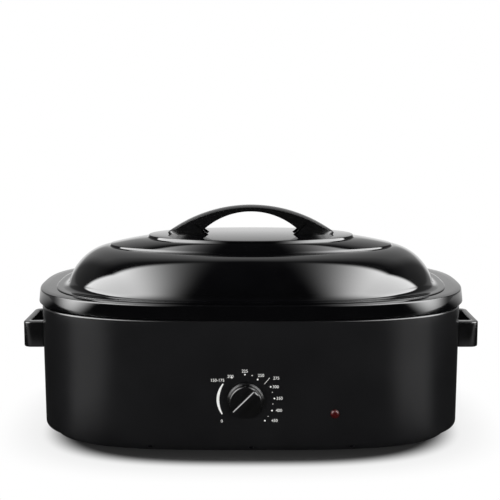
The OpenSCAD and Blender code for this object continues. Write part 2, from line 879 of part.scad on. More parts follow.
// A side direction for each point of the route, carried along without twist
function carried(p, i, before) = i >= len(p) ? [] :
    let (h = heading(p, i), s = unit(before - (before * h) * h)) concat([s], carried(p, i + 1, s));

// A round wire along hand-set points
module wire(points, r, first) {
    p = route(points);
    s = carried(p, 0, first);
    n = wire_sides;
    body = [for (i = [0:len(p) - 1]) let (h = heading(p, i), up = cross(h, s[i]))
        each [for (k = [0:n - 1]) p[i] + r * (cos(360 * k / n) * s[i] + sin(360 * k / n) * up)]];
    walls = [for (i = [0:len(p) - 2], k = [0:n - 1]) let (m = (k + 1) % n)
        each [[i * n + k, (i + 1) * n + k, (i + 1) * n + m], [i * n + k, (i + 1) * n + m, i * n + m]]];
    polyhedron(body, concat(walls, [[for (k = [0:n - 1]) k]],
        [[for (k = [n - 1:-1:0]) (len(p) - 1) * n + k]]));
}

block_front = block_y - block_d / 2;
wire_low = base_floor + 6;
stat_foot = knob_z - stat_h / 2;
stat_term_y = stat_y + stat_d / 2;
fuse_r = 2.2;
fuse_l = 14;
fuse_x = 20;
fuse_y = stat_term_y;
fuse_z = stat_foot - 12;
term_y = band_face(post_at[0], term_z + term_h) - term_d / 2 - term_gap;

module live_wire() {
    color([0.1, 0.1, 0.1])
    wire([[gland_x - block_pitch, block_front - wire_end, wire_low],
        [gland_x - block_pitch, block_front - 10, wire_low], [35, 50, wire_low],
        [0, 0, wire_low], [-15, -60, wire_low], [-20, -115, wire_low],
        [-18, stat_term_y + 6, 22], [-16, stat_term_y, 40], [-16, stat_term_y, stat_foot - 6],
        [-16, stat_term_y, stat_foot - wire_end]], wire_r, [1, 0, 0]);
}

module load_wire() {
    color([0.7, 0.1, 0.1]) {
        wire([[4, stat_term_y, stat_foot - wire_end], [4, stat_term_y, stat_foot - 5],
            [6, stat_term_y, fuse_z + 2], [12, fuse_y, fuse_z], [fuse_x - wire_end, fuse_y, fuse_z]],
            wire_r, [0, 1, 0]);
        wire([[fuse_x + fuse_l + wire_end, fuse_y, fuse_z], [fuse_x + fuse_l + 5, fuse_y, fuse_z],
            [post_at[0] - 3, (fuse_y + term_y) / 2, fuse_z + 8], [post_at[0], term_y, term_z - 16],
            [post_at[0], term_y, term_z - 5], [post_at[0], term_y, term_z - wire_end]], wire_r, [0, 1, 0]);
    }
}

module thermal_fuse() {
    color([0.75, 0.72, 0.6])
    rod_x(fuse_x, fuse_y, fuse_z, fuse_r, fuse_l);
}

module neutral_wire() {
    color([0.9, 0.9, 0.88])
    wire([[gland_x, block_front - wire_end, wire_low], [gland_x, block_front - 10, wire_low],
        [gland_x + 6, 40, wire_low], [gland_x + 10, -20, wire_low],
        [gland_x + 8, -80, wire_low], [post_at[1] + 3, -125, wire_low + 2],
        [post_at[1] + 1, term_y - 3, 30], [post_at[1], term_y, 52], [post_at[1], term_y, term_z - 12],
        [post_at[1], term_y, term_z - wire_end]], wire_r, [1, 0, 0]);
}

module earth_wire() {
    color([0.2, 0.5, 0.15])
    wire([[gland_x + block_pitch, block_front - wire_end, wire_low],
        [gland_x + block_pitch, block_front - 6, wire_low],
        [gland_x + block_pitch + 8, block_front - 15, wire_low],
        [earth_at[0] - 14, earth_at[1] - 6, wire_low - 2],
        [earth_at[0], earth_at[1], base_floor + earth_tag_t + head_h + 6],
        [earth_at[0], earth_at[1], base_floor + earth_tag_t + head_h + wire_end]], wire_r, [1, 0, 0]);
}

lamp_back = lamp_y + seat_gap + lamp_l + wire_end;

module lamp_wire() {
    color([0.85, 0.85, 0.85])
    wire([[lamp_right, lamp_back, lamp_z], [lamp_right, lamp_back + 3, lamp_z],
        [lamp_right - 6, lamp_back + 4, lamp_z + 10],
        [post_at[1] + 14, term_y - 1, term_z - 4], [post_at[1] + 8, term_y, term_z + term_h / 2],
        [post_at[1] + term_w / 2 + wire_end, term_y, term_z + term_h / 2]], lamp_wire_r, [1, 0, 0]);
}

// ---- roasting pan ----

// The wall ends below the rim, then turns out to it in a small radius
bead_low = 7;
bead_mid = 3.5;

pan_under_rings = concat(
    rings(pan_plan, concat([[-floor_in, pan_floor - pan_sheet]],
        arc(-pan_draft - pan_corner, pan_floor - pan_sheet + pan_corner, pan_corner, -90, 0, 4),
        [[-0.6, rim_top - bead_low], [0.4, rim_top - bead_mid], [2.2, pan_under]])),
    rings(rim_plan, concat(arc(-rim_roll, rim_top - rim_roll, rim_roll - pan_sheet, 90, 0, 4),
        [[-pan_sheet, skirt_z]])));

module roasting_pan() {
    color([0.12, 0.12, 0.13])
    pressed(pan_under_rings, pan_sheet);
}

// ---- rack ----

rack_a = pan_plan[0] - pan_draft - rack_gap - pan_sheet;
rack_b = pan_plan[1] - pan_draft - rack_gap - pan_sheet;
rack_straight = 8;
rack_bend = rack_b - rack_straight;
rack_foot_x = rack_a * 0.5;
// The cross wires are welded into the frame's top, and their ends stop short of its corners
weld_sink = 0.4;
rack_end = 14;
rack_foot_end = 20;
rack_foot_gap = 0.3;
rack_foot_r = 1.2 * rack_bar;

// A closed round-cornered loop of wire, lying flat
module wire_loop(a, b, r, w) {
    for (s = [-1, 1]) {
        rod_x(-a + r, s * b, 0, w, 2 * (a - r));
        rod_y(s * a, -b + r, 0, w, 2 * (b - r));
    }
    for (q = [0:3], sx = [q == 0 || q == 3 ? 1 : -1], sy = [q < 2 ? 1 : -1])
        translate([sx * (a - r), sy * (b - r), 0]) rotate([0, 0, 90 * q])
            rotate_extrude(angle = 90, $fn = fine) translate([r, 0]) circle(r = w, $fn = 24);
}

function loop_reach(y) = rack_a - (abs(y) > rack_b - rack_bend
    ? rack_bend - sqrt(rack_bend * rack_bend - pow(abs(y) - rack_b + rack_bend, 2)) : 0);

module roasting_rack() {
    color([0.78, 0.79, 0.8]) {
        translate([0, 0, rack_z]) wire_loop(rack_a, rack_b, rack_bend, rack_wire);
        for (i = [0:rack_bars - 1])
            let (y = (rack_b - rack_end) * (2 * i / (rack_bars - 1) - 1))
            rod_x(-loop_reach(y), y, rack_z + rack_wire + rack_bar * (1 - weld_sink),
                rack_bar, 2 * loop_reach(y));
        for (sx = [-1, 1]) {
            rod_y(sx * rack_foot_x, -rack_b, rack_z, rack_bar, 2 * rack_b);
            for (sy = [-1, 1])
                rod_z(sx * rack_foot_x, sy * (rack_b - rack_foot_end), pan_floor + rack_foot_gap,
                    rack_foot_r, rack_stand - rack_foot_gap);
        }
    }
}

loop_bend = 14;
weld_gap = 0.5;
loop_lean = 2;
loop_x = loop_reach(rack_loop_l / 2) - 2 * rack_wire - weld_gap;

// Each end has a wire hoop, welded to the frame's end and standing up beside the pan's wall
module rack_lifting_loops() {
    color([0.78, 0.79, 0.8])
    for (s = [-1, 1])
        translate([s * loop_x, 0, rack_z]) rotate([0, s * loop_lean, 0]) {
            for (t = [-1, 1]) {
                rod_z(0, t * rack_loop_l / 2, 0, rack_wire, rack_loop_h - loop_bend);
                translate([0, t * (rack_loop_l / 2 - loop_bend), rack_loop_h - loop_bend])
                    rotate([90, 0, 90]) rotate([0, 0, t > 0 ? 0 : 90]) rotate_extrude(angle = 90, $fn = fine)
                    translate([loop_bend, 0]) circle(r = rack_wire, $fn = 24);
            }
            rod_y(0, -rack_loop_l / 2 + loop_bend, rack_loop_h, rack_wire, rack_loop_l - 2 * loop_bend);
        }
}

// ---- lid ----

dome_from = lid_sheet;
wall_power_x = 1.75;
wall_power_y = 2;
dome_steps = 8;
// Squareness of the inner and the outer step, and how far each step's edge leans in
in_square = 2.1;
out_square = 2.15;
in_lean = [2, 1.8];
out_lean = [1.5, 1.4];
tier_power = 1.35;
flange_r = 1.5;

// How far the dome's wall still stands out at a share v of its height
function bulge(v, power) = pow(1 - pow(v, power), 1 / power);
function mix(a, b, t) = a + (b - a) * t;

crown = [for (u = [0.4, 0.75, 1])
    [rim_top + lid_rise - (lid_rise - step_in_z - step_in_h) * u * u,
        (step_in_a - in_lean[0]) * u, (step_in_b - in_lean[1]) * u, in_square]];
tier = [for (w = [0, 1 / 3, 2 / 3, 1])
    [rim_top + mix(step_in_z, step_out_z + step_out_h, pow(w, tier_power)),
        mix(step_in_a, step_out_a - out_lean[0], w), mix(step_in_b, step_out_b - out_lean[1], w),
        mix(in_square, out_square, w)]];
dome = [for (i = [0:dome_steps]) let (v = sin(90 - 90 * i / dome_steps))
    [rim_top + mix(dome_from, step_out_z, v), mix(step_out_a, dome_plan[0], bulge(v, wall_power_x)),
        mix(step_out_b, dome_plan[1], bulge(v, wall_power_y)), mix(dome_plan[2], out_square, v)]];
lid_top = concat(crown, tier, dome,
    rings(flange_plan, [[-flange_x + flange_r, rim_top + dome_from], [0, rim_top + dome_from]]));
crown_z = rim_top + lid_rise;

module lid_shell() {
    color([0.12, 0.12, 0.13])
    difference() {
        pressed(lid_top, -lid_sheet);
        for (s = [-1, 1])
            rod_z(s * grip_screw_pitch / 2, 0, crown_z - drill_l, grip_screw_r + screw_play, 2 * drill_l);
    }
}

// The arch is a strip between two arcs: each passes through its top and its end
function arc_r(half, drop) = (half * half + drop * drop) / (2 * drop);

grip_top = crown_z + grip_h;
// The feet reach below the crown's top, and are trimmed to its curve
grip_sink = 1.4;
grip_foot = crown_z - grip_sink;
grip_end = 2.2;
grip_end_z = crown_z + grip_end;
outer_r = arc_r(grip_l / 2, grip_top - grip_end_z);
open_foot = 5;
open_drop = grip_h - grip_t - open_foot;
inner_r = arc_r(grip_open, open_drop);
grip_steps = 24;
tip_lean = 2;
// Inside the arch each foot runs out in a fillet
foot_toe = 9;
toe_t = 1;
toe_steps = 4;

function arch(half, r, top, x) = top - r + sqrt(r * r - x * x);

module grip_profile() {
    out = [for (i = [0:grip_steps]) let (x = grip_l / 2 * (1 - 2 * i / grip_steps))
        [x, arch(grip_l / 2, outer_r, grip_top, x)]];
    in = [for (i = [0:grip_steps]) let (x = grip_open * (2 * i / grip_steps - 1))
        [x, arch(grip_open, inner_r, grip_top - grip_t, x)]];
    toe = [for (i = [1:toe_steps]) let (t = 90 * i / toe_steps)
        [grip_open - foot_toe * (1 - cos(t)),
            crown_z + open_foot - (open_foot + grip_sink - toe_t) * sin(t)]];
    half = concat(toe, [[grip_open - foot_toe, grip_foot]]);
    polygon(concat([[grip_l / 2 - tip_lean, grip_foot]], out, [[-grip_l / 2 + tip_lean, grip_foot]],
        reversed([for (p = half) [-p[0], p[1]]]), in, half));
}

grip_tip_w = 14;
grip_bite = 10;

module grip_plan() {
    hull() {
        translate([-grip_screw_pitch / 2, -grip_w / 2]) square([grip_screw_pitch, grip_w]);
        for (s = [-1, 1]) translate([s * (grip_l / 2 - grip_tip_w / 2), 0]) circle(d = grip_tip_w, $fn = 32);
    }
}

// The crown that the feet stand on, as a solid to trim them to
module crown_form() {
    skin(concat([[rim_top, step_in_a - in_lean[0], step_in_b - in_lean[1], in_square]],
        reversed([for (r = crown) [r[0] + tight, r[1], r[2], r[3]]])));
}

module lid_handle() {
    color([0.06, 0.06, 0.06])
    difference() {
        intersection() {
            translate([0, grip_w, 0]) rotate([90, 0, 0]) linear_extrude(2 * grip_w) grip_profile();
            translate([0, 0, grip_foot - over]) linear_extrude(grip_h + grip_sink + 2 * over) grip_plan();
        }
        crown_form();
        for (s = [-1, 1])
            rod_z(s * grip_screw_pitch / 2, 0, crown_z - grip_bite, grip_screw_r, 2 * grip_bite);
    }
}

// The lid's sheet at the screws lies a little below the crown's top, and so does each washer below it
grip_drop = 0.55;
grip_under = crown_z - grip_drop - lid_sheet;
grip_washer_r = 8;
grip_washer_z = grip_under - grip_drop - washer_t;

module lid_handle_washers() {
    color([0.6, 0.6, 0.62])
    for (s = [-1, 1])
        difference() {
            rod_z(s * grip_screw_pitch / 2, 0, grip_washer_z, grip_washer_r, washer_t);
            rod_z(s * grip_screw_pitch / 2, 0, grip_washer_z - over, grip_screw_r + screw_play,
                washer_t + 2 * over);
        }
}

grip_screw_l = 11;

module lid_handle_screws() {
    color([0.6, 0.6, 0.62])
    for (s = [-1, 1]) {
        rod_z(s * grip_screw_pitch / 2, 0, grip_washer_z - head_h, head_r, head_h);
        rod_z(s * grip_screw_pitch / 2, 0, grip_washer_z - eps, grip_screw_r, grip_screw_l);
    }
}

outer_shell();
inner_well();
heating_band();
band_terminals();
insulation_blanket();
base_pan();
heat_shield();
shield_posts();
shield_screws();
rubber_feet();
foot_screws();
base_screws();
base_brackets();
left_side_handle();
right_side_handle();
side_handle_screws();
side_handle_washers();
thermostat_plate();
thermostat_body();
thermostat_screws();
thermostat_shaft();
control_knob();
knob_spring_clip();
indicator_lens();
indicator_lamp();
lamp_push_nut();
cord_gland();
gland_nut();
terminal_block();
terminal_screws();
earth_screw();
thermal_fuse();
live_wire();
load_wire();
neutral_wire();
earth_wire();
lamp_wire();
roasting_pan();
roasting_rack();
rack_lifting_loops();
lid_shell();
lid_handle();
lid_handle_screws();
lid_handle_washers();
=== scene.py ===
"""Dresses the electric roaster oven: a satin black body that holds a heated well, a gloss black
enamel pan with a wide rolled rim, a loose domed lid with an arched handle, and one dial.

Lengths are millimetres unless a name says otherwise, and meshes are written in metres.
"""

from __future__ import annotations

import logging
import math
from contextlib import contextmanager
from dataclasses import dataclass, field, replace
from enum import Enum
from typing import Callable, Iterator

import bmesh
import bpy
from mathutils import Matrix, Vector

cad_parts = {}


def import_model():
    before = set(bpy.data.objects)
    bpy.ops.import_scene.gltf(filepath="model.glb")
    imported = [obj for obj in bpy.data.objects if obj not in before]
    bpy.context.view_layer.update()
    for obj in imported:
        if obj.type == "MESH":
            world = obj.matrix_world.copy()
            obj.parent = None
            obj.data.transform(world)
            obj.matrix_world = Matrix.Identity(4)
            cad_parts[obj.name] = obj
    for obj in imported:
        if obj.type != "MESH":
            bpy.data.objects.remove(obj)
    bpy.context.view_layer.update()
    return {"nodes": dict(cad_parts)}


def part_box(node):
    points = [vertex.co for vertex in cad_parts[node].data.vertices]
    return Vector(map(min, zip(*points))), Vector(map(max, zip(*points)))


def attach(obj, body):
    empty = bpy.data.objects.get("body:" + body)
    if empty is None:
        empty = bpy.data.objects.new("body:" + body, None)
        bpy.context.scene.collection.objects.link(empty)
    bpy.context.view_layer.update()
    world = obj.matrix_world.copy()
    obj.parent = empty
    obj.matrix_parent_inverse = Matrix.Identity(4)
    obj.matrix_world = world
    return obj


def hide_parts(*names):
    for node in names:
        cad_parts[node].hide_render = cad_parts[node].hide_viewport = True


LOG = logging.getLogger("roaster")

Obj = bpy.types.Object
Spot = tuple[float, float]

MM = 0.001
RING_POINTS = 256
ROUND_POINTS = 96
SMOOTH_ANGLE = math.radians(38)
HAIR = 0.01

# The levels of a finish's noise between which its tint turns to its shade, and its sheen changes
TINT_LEVELS = (0.12, 0.42)
SHEEN_LEVELS = (0.3, 0.7)

# The most that a rounded corner takes of a strip, where the strip's other end is rounded and where not
SHARED_STRIP, OWN_STRIP = 0.5, 0.95


# ---------------------------------------------------------------- finishes


class Pattern(Enum):
    """The surface pattern that a finish's making leaves."""

    GRAIN = "grain"
    BRUSHED = "brushed"
    SPANGLE = "spangle"
    WEAVE = "weave"


def linear(code: str) -> tuple[float, float, float, float]:
    """Turns an sRGB hex colour into the linear colour that a shader takes.

    Args:
        code: six hex digits after a hash.

    Returns:
        Linear red, green and blue, with an alpha of 1.
    """
    parts = [int(code[i : i + 2], 16) / 255 for i in (1, 3, 5)]
    red, green, blue = (p / 12.92 if p <= 0.04045 else ((p + 0.055) / 1.055) ** 2.4 for p in parts)
    return (red, green, blue, 1.0)


def add(tree: bpy.types.NodeTree, kind: str, sockets: dict | None = None, **settings) -> bpy.types.Node:
    """Adds a node to a tree.

    Args:
        tree: the tree that takes the node.
        kind: the node's type.
        sockets: input name or number to a value, or to another node's output.
        **settings: the node's own properties.

    Returns:
        The new node.
    """
    made = tree.nodes.new(kind)
    for key, value in settings.items():
        setattr(made, key, value)
    for key, value in (sockets or {}).items():
        if isinstance(value, bpy.types.NodeSocket):
            tree.links.new(value, made.inputs[key])
        else:
            made.inputs[key].default_value = value
    return made


def counted(tree: bpy.types.NodeTree, operation: str, *values) -> bpy.types.NodeSocket:
    """Adds a math node, and gives its result."""
    return add(tree, "ShaderNodeMath", dict(enumerate(values)), operation=operation).outputs[0]


def eased(tree: bpy.types.NodeTree, value: bpy.types.NodeSocket, start: float, end: float,
          first: float = 0.0, last: float = 1.0) -> bpy.types.NodeSocket:
    """Carries a value smoothly from one level to another.

    Args:
        tree: the tree that takes the node.
        value: what is followed.
        start: where the change starts.
        end: where it ends.
        first: the level up to the start.
        last: the level from the end on.

    Returns:
        The level.
    """
    return add(tree, "ShaderNodeMapRange", {"Value": value, "From Min": start, "From Max": end,
                                            "To Min": first, "To Max": last},
               interpolation_type="SMOOTHSTEP").outputs[0]


@dataclass(frozen=True)
class Finish:
    """A surface: what it is made of, and the marks that its making leaves."""

    title: str
    tint: str
    shade: str
    roughness: float
    spread: float = 0.05
    metallic: float = 0.0
    ior: float = 1.5
    pattern: Pattern = Pattern.GRAIN
    grain: float = 1.0
    relief: float = 0.01
    cloud: float = 60.0
    wave: float = 0.0
    wave_relief: float = 0.0
    transmission: float = 0.0

    def _pattern(self, tree: bpy.types.NodeTree, place: bpy.types.NodeSocket) -> bpy.types.NodeSocket:
        """Builds the fine pattern.

        Args:
            tree: the material's tree.
            place: the object coordinates.

        Returns:
            The pattern's height, from 0 to 1.
        """
        scale = 1 / (self.grain * MM)
        if self.pattern is Pattern.BRUSHED:
            drawn = add(tree, "ShaderNodeMapping", {"Vector": place, "Scale": (0.03, 1.0, 1.0)})
            return add(tree, "ShaderNodeTexNoise", {"Vector": drawn.outputs[0], "Scale": scale,
                                                    "Detail": 3.0}).outputs["Fac"]
        if self.pattern is Pattern.SPANGLE:
            return add(tree, "ShaderNodeTexVoronoi", {"Vector": place, "Scale": scale}).outputs["Color"]
        if self.pattern is Pattern.WEAVE:
            warp, weft = (add(tree, "ShaderNodeTexWave", {"Vector": place, "Scale": scale / 3,
                                                          "Distortion": 0.6}, bands_direction=way)
                          for way in ("DIAGONAL", "Z"))
            return counted(tree, "MULTIPLY", warp.outputs["Fac"], weft.outputs["Fac"])
        return add(tree, "ShaderNodeTexNoise", {"Vector": place, "Scale": scale,
                                                "Detail": 4.0}).outputs["Fac"]

    def material(self) -> bpy.types.Material:
        """Gives the finish's material, built the first time it is asked for.

        Returns:
            The material.
        """
        known = bpy.data.materials.get(self.title)
        if known:
            return known
        made = bpy.data.materials.new(self.title)
        made.use_nodes = True
        tree = made.node_tree
        shader = tree.nodes["Principled BSDF"]
        place = add(tree, "ShaderNodeTexCoord").outputs["Object"]
        height = self._pattern(tree, place)
        cloud = add(tree, "ShaderNodeTexNoise", {"Vector": place, "Scale": 1 / (self.cloud * MM),
                                                 "Detail": 5.0, "Roughness": 0.55}).outputs["Fac"]
        both = counted(tree, "MULTIPLY", cloud, height)
        share = add(tree, "ShaderNodeMapRange", {"Value": both, "From Min": TINT_LEVELS[0],
                                                 "From Max": TINT_LEVELS[1]})
        colour = add(tree, "ShaderNodeMix", {0: share.outputs[0], 6: linear(self.tint),
                                             7: linear(self.shade)}, data_type="RGBA")
        tree.links.new(colour.outputs[2], shader.inputs["Base Color"])
        rough = add(tree, "ShaderNodeMapRange", {"Value": cloud, "From Min": SHEEN_LEVELS[0],
                                                 "From Max": SHEEN_LEVELS[1],
                                                 "To Min": self.roughness - self.spread / 2,
                                                 "To Max": self.roughness + self.spread / 2})
        tree.links.new(rough.outputs[0], shader.inputs["Roughness"])
        bump = add(tree, "ShaderNodeBump", {"Height": height, "Distance": self.relief * MM,
                                            "Strength": 1.0})
        if self.wave:
            slow = add(tree, "ShaderNodeTexNoise", {"Vector": place, "Scale": 1 / (self.wave * MM),
                                                    "Detail": 1.0})
            bump = add(tree, "ShaderNodeBump", {"Height": slow.outputs["Fac"], "Strength": 1.0,
                                                "Distance": self.wave_relief * MM,
                                                "Normal": bump.outputs[0]})
        tree.links.new(bump.outputs[0], shader.inputs["Normal"])
        shader.inputs["Metallic"].default_value = self.metallic
        shader.inputs["IOR"].default_value = self.ior
        shader.inputs["Transmission Weight"].default_value = self.transmission
        return made


# Heat-proof paint sprayed on steel: a fine orange peel that spreads the lights into soft bands
SATIN_PAINT = Finish("sprayed satin paint", "#101011", "#161617", 0.2, 0.03, grain=1.4, relief=0.006,
                     cloud=45.0)
# Porcelain enamel fired on steel: deep gloss black, with the slow waves of the fired glass
ENAMEL = Finish("fired porcelain enamel", "#030304", "#060607", 0.06, 0.03, ior=1.52, grain=0.7,
                relief=0.0006, cloud=30.0, wave=38.0, wave_relief=0.02)
# Phenolic moulded in a fine-blasted tool: an even satin black with a faint grain
PHENOLIC = Finish("moulded phenolic", "#0a0a0a", "#101011", 0.17, 0.04, grain=0.6, relief=0.005,
                  cloud=22.0)
# Nylon gland: a little softer in sheen than the phenolic
NYLON = Finish("moulded nylon", "#0c0c0d", "#151516", 0.5, 0.06, grain=0.8, relief=0.01, cloud=18.0)
# Hot-dipped aluminised sheet: dull silver with small spangles
ALUMINISED = Finish("aluminised sheet", "#b4b6b8", "#8f9295", 0.36, 0.12, 1.0, pattern=Pattern.SPANGLE,
                    grain=6.0, relief=0.004, cloud=35.0)
# Bright rolled aluminium: silver, with faint rolling lines
ALUMINIUM = Finish("rolled aluminium", "#d2d4d6", "#bcbec1", 0.28, 0.1, 1.0, pattern=Pattern.BRUSHED,
                   grain=1.2, relief=0.004, cloud=50.0)
# Zinc-plated steel: cool grey with faint clouding
ZINC = Finish("zinc plate", "#a9adb3", "#8d9298", 0.32, 0.12, 1.0, grain=0.9, relief=0.004, cloud=9.0)
# Blackened steel: the self-tapping screws under the body
BLACKENED = Finish("blackened steel", "#17171a", "#101012", 0.42, 0.1, 1.0, grain=0.9, relief=0.004,
                   cloud=9.0)
# Steel case of the mica band, heat-tinted brown in clouds
BAND_STEEL = Finish("heat-tinted steel", "#8d857a", "#6d6156", 0.42, 0.12, 1.0, pattern=Pattern.BRUSHED,
                    grain=1.5, relief=0.006, cloud=25.0)
# Chromed wire: bright and smooth
CHROMED_WIRE = Finish("chromed wire", "#d9dbde", "#c4c7cb", 0.1, 0.06, 1.0, grain=1.5, relief=0.002,
                      cloud=20.0)
# Turned brass: warm yellow, with lathe lines
BRASS = Finish("turned brass", "#b99a4f", "#9c8040", 0.28, 0.1, 1.0, pattern=Pattern.BRUSHED, grain=0.6,
               relief=0.004, cloud=8.0)
# Steatite: a fired ceramic, cream and slightly glazed
STEATITE = Finish("fired steatite", "#e4dfd0", "#d2ccba", 0.35, 0.1, ior=1.6, grain=0.5, relief=0.008,
                  cloud=12.0)
# Needled glass fibre: off-white felt
GLASS_FIBRE = Finish("needled glass fibre", "#e0dac6", "#bfb89f", 0.9, 0.08, pattern=Pattern.WEAVE,
                     grain=2.5, relief=0.35, cloud=14.0)
# Moulded rubber: near black and dull
RUBBER = Finish("moulded rubber", "#0d0d0d", "#171717", 0.75, 0.08, grain=0.9, relief=0.02, cloud=10.0)
# Pad-printed ink: off-white, a little uneven
PRINT = Finish("pad-printed ink", "#e8e8e5", "#d8d8d5", 0.5, 0.06, grain=0.5, relief=0.002, cloud=6.0)
# Dark red polycarbonate: nearly black until it is lit from behind
LENS_RED = Finish("red polycarbonate", "#3a0506", "#240304", 0.34, 0.05, ior=1.36, grain=0.8,
                  relief=0.002, cloud=6.0)
# Clear glass of the neon lamp
LAMP_GLASS = Finish("clear lamp glass", "#f2e6dc", "#ead6c4", 0.05, 0.02, ior=1.5, grain=2.0,
                    relief=0.001, cloud=8.0, transmission=0.9)


def sleeve(title: str, tint: str, shade: str) -> Finish:
    """Makes the braided sleeve of one wire: threads 0.5 mm apart, drawn at 0.8 to show."""
    return Finish(title, tint, shade, 0.75, 0.08, pattern=Pattern.WEAVE, grain=0.8, relief=0.05, cloud=9.0)


BLACK_SLEEVE = sleeve("black braided sleeve", "#18181a", "#0c0c0d")
RED_SLEEVE = sleeve("red braided sleeve", "#a32422", "#7c1614")
WHITE_SLEEVE = sleeve("white braided sleeve", "#e6e4de", "#c6c3ba")
GREEN_SLEEVE = sleeve("green braided sleeve", "#3f7a35", "#2a5a24")


# ---------------------------------------------------------------- modelling by hand


def hold(*objects: Obj) -> None:
    """Selects these objects alone, and makes the first one active."""
    bpy.ops.object.select_all(action="DESELECT")
    for one in objects:
        one.select_set(True)
    bpy.context.view_layer.objects.active = objects[0]


@contextmanager
def editing(obj: Obj, mode: str = "VERT") -> Iterator[None]:
    """Opens an object in edit mode with nothing selected, and leaves edit mode after.

    Args:
        obj: the mesh object.
        mode: what is selected: VERT, EDGE or FACE.

    Yields:
        Nothing; the mesh is open inside the block.
    """
    hold(obj)
    bpy.ops.object.mode_set(mode="EDIT")
    bpy.ops.mesh.select_mode(type=mode)
    bpy.ops.mesh.select_all(action="DESELECT")
    try:
        yield
    finally:
        bpy.ops.object.mode_set(mode="OBJECT")


def added(name: str, primitive: Callable, **settings) -> Obj:
    """Adds a primitive and names it.

    Args:
        name: the new object's name.
        primitive: the operator that adds it.
        **settings: the operator's settings.

    Returns:
        The new object.
    """
    bpy.ops.object.select_all(action="DESELECT")
    primitive(**settings)
    made = bpy.context.active_object
    made.name = name
    made.data.name = name
    return made


def settled(obj: Obj) -> Obj:
    """Puts an object's place, turn and scale into its mesh."""
    hold(obj)
    bpy.ops.object.transform_apply(location=True, rotation=True, scale=True)
    return obj


def modified(obj: Obj, kind: str, **settings) -> Obj:
    """Adds a modifier and applies it.

    Args:
        obj: the object that takes it.
        kind: the modifier's type.
        **settings: the modifier's properties.

    Returns:
        The same object.
    """
    hold(obj)
    bpy.ops.object.modifier_add(type=kind)
    modifier = obj.modifiers[-1]
    for key, value in settings.items():
        setattr(modifier, key, value)
    bpy.ops.object.modifier_apply(modifier=modifier.name)
    return obj


def bevelled(obj: Obj, width: float, segments: int = 3, degrees: float = 40) -> Obj:
    """Rounds the edges that are sharper than an angle."""
    return modified(obj, "BEVEL", width=width * MM, segments=segments, limit_method="ANGLE",
                    angle_limit=math.radians(degrees), use_clamp_overlap=True)


def smoothed(obj: Obj, angle: float = SMOOTH_ANGLE) -> Obj:
    """Shades an object smooth, but for its sharp edges."""
    hold(obj)
    bpy.ops.object.shade_smooth_by_angle(angle=angle)
    return obj


def outward(obj: Obj) -> Obj:
    """Merges doubles and turns a closed mesh's faces outwards."""
    with editing(obj):
        bpy.ops.mesh.select_all(action="SELECT")
        bpy.ops.mesh.remove_doubles(threshold=0.001 * MM)
        bpy.ops.mesh.normals_make_consistent(inside=False)
    return obj


def joined(name: str, objects: list[Obj]) -> Obj:
    """Joins objects into one, under a name."""
    hold(*objects)
    bpy.ops.object.join()
    objects[0].name = name
    objects[0].data.name = name
    return objects[0]


def cut(obj: Obj, cutters: list[Obj], operation: str = "DIFFERENCE") -> Obj:
    """Cuts solids out of an object, or unites them with it, and deletes them.

    Args:
        obj: the object that is cut.
        cutters: closed solids.
        operation: DIFFERENCE or UNION.

    Returns:
        The cut object.
    """
    tool = joined(obj.name + "_cutter", cutters)
    modified(obj, "BOOLEAN", object=tool, operation=operation, solver="EXACT")
    bpy.data.objects.remove(tool)
    return obj


AXIS_TURNS = {"X": (0.0, math.pi / 2, 0.0), "Y": (-math.pi / 2, 0.0, 0.0), "Z": (0.0, 0.0, 0.0)}


def rod(centre: tuple[float, float, float], axis: str, radius: float, length: float,
        sides: int = 48) -> Obj:
    """Adds a plain round cutter.

    Args:
        centre: its middle.
        axis: X, Y or Z.
        radius: its radius.
        length: its length.
        sides: how many sides it has.

    Returns:
        The cutter.
    """
    made = added("rod", bpy.ops.mesh.primitive_cylinder_add, vertices=sides, radius=radius * MM,
                 depth=length * MM, location=Vector(centre) * MM, rotation=AXIS_TURNS[axis])
    return settled(made)


def block(centre: tuple[float, float, float], size: tuple[float, float, float]) -> Obj:
    """Adds a box-shaped cutter, or a start for a shaped block."""
    made = added("block", bpy.ops.mesh.primitive_cube_add, size=1.0, location=Vector(centre) * MM)
    made.scale = Vector(size) * MM
    return settled(made)


# ---------------------------------------------------------------- pressed sheets


def mix(first: float, second: float, share: float) -> float:
    """Gives the value that lies a share of the way from the first to the second."""
    return first + (second - first) * share


@dataclass(frozen=True)
class Plan:
    """An outline seen from above, |x / half_w|^power + |y / half_d|^power = 1."""

    half_w: float
    half_d: float
    power: float

    def grown(self, by: float) -> Plan:
        """The same outline, moved outwards."""
        return Plan(self.half_w + by, self.half_d + by, self.power)

    def spot(self, turn: float) -> Spot:
        """Gives the point of the outline at a turn.

        Args:
            turn: the curve's own angle, in radians.

        Returns:
            The point's x and y.
        """
        c, s, e = math.cos(turn), math.sin(turn), 2 / self.power
        return (self.half_w * math.copysign(abs(c) ** e, c), self.half_d * math.copysign(abs(s) ** e, s))

    def drawn_in(self, ends: float, sides: float) -> Plan:
        """The same outline, moved inwards by one measure at its ends and another at its sides."""
        return Plan(self.half_w - ends, self.half_d - sides, self.power)

    def depth_at(self, x: float) -> float:
        """Half the outline's depth at x."""
        return self.half_d * (1 - (abs(x) / self.half_w) ** self.power) ** (1 / self.power)

    def width_at(self, y: float) -> float:
        """Half the outline's width at y."""
        return self.half_w * (1 - (abs(y) / self.half_d) ** self.power) ** (1 / self.power)


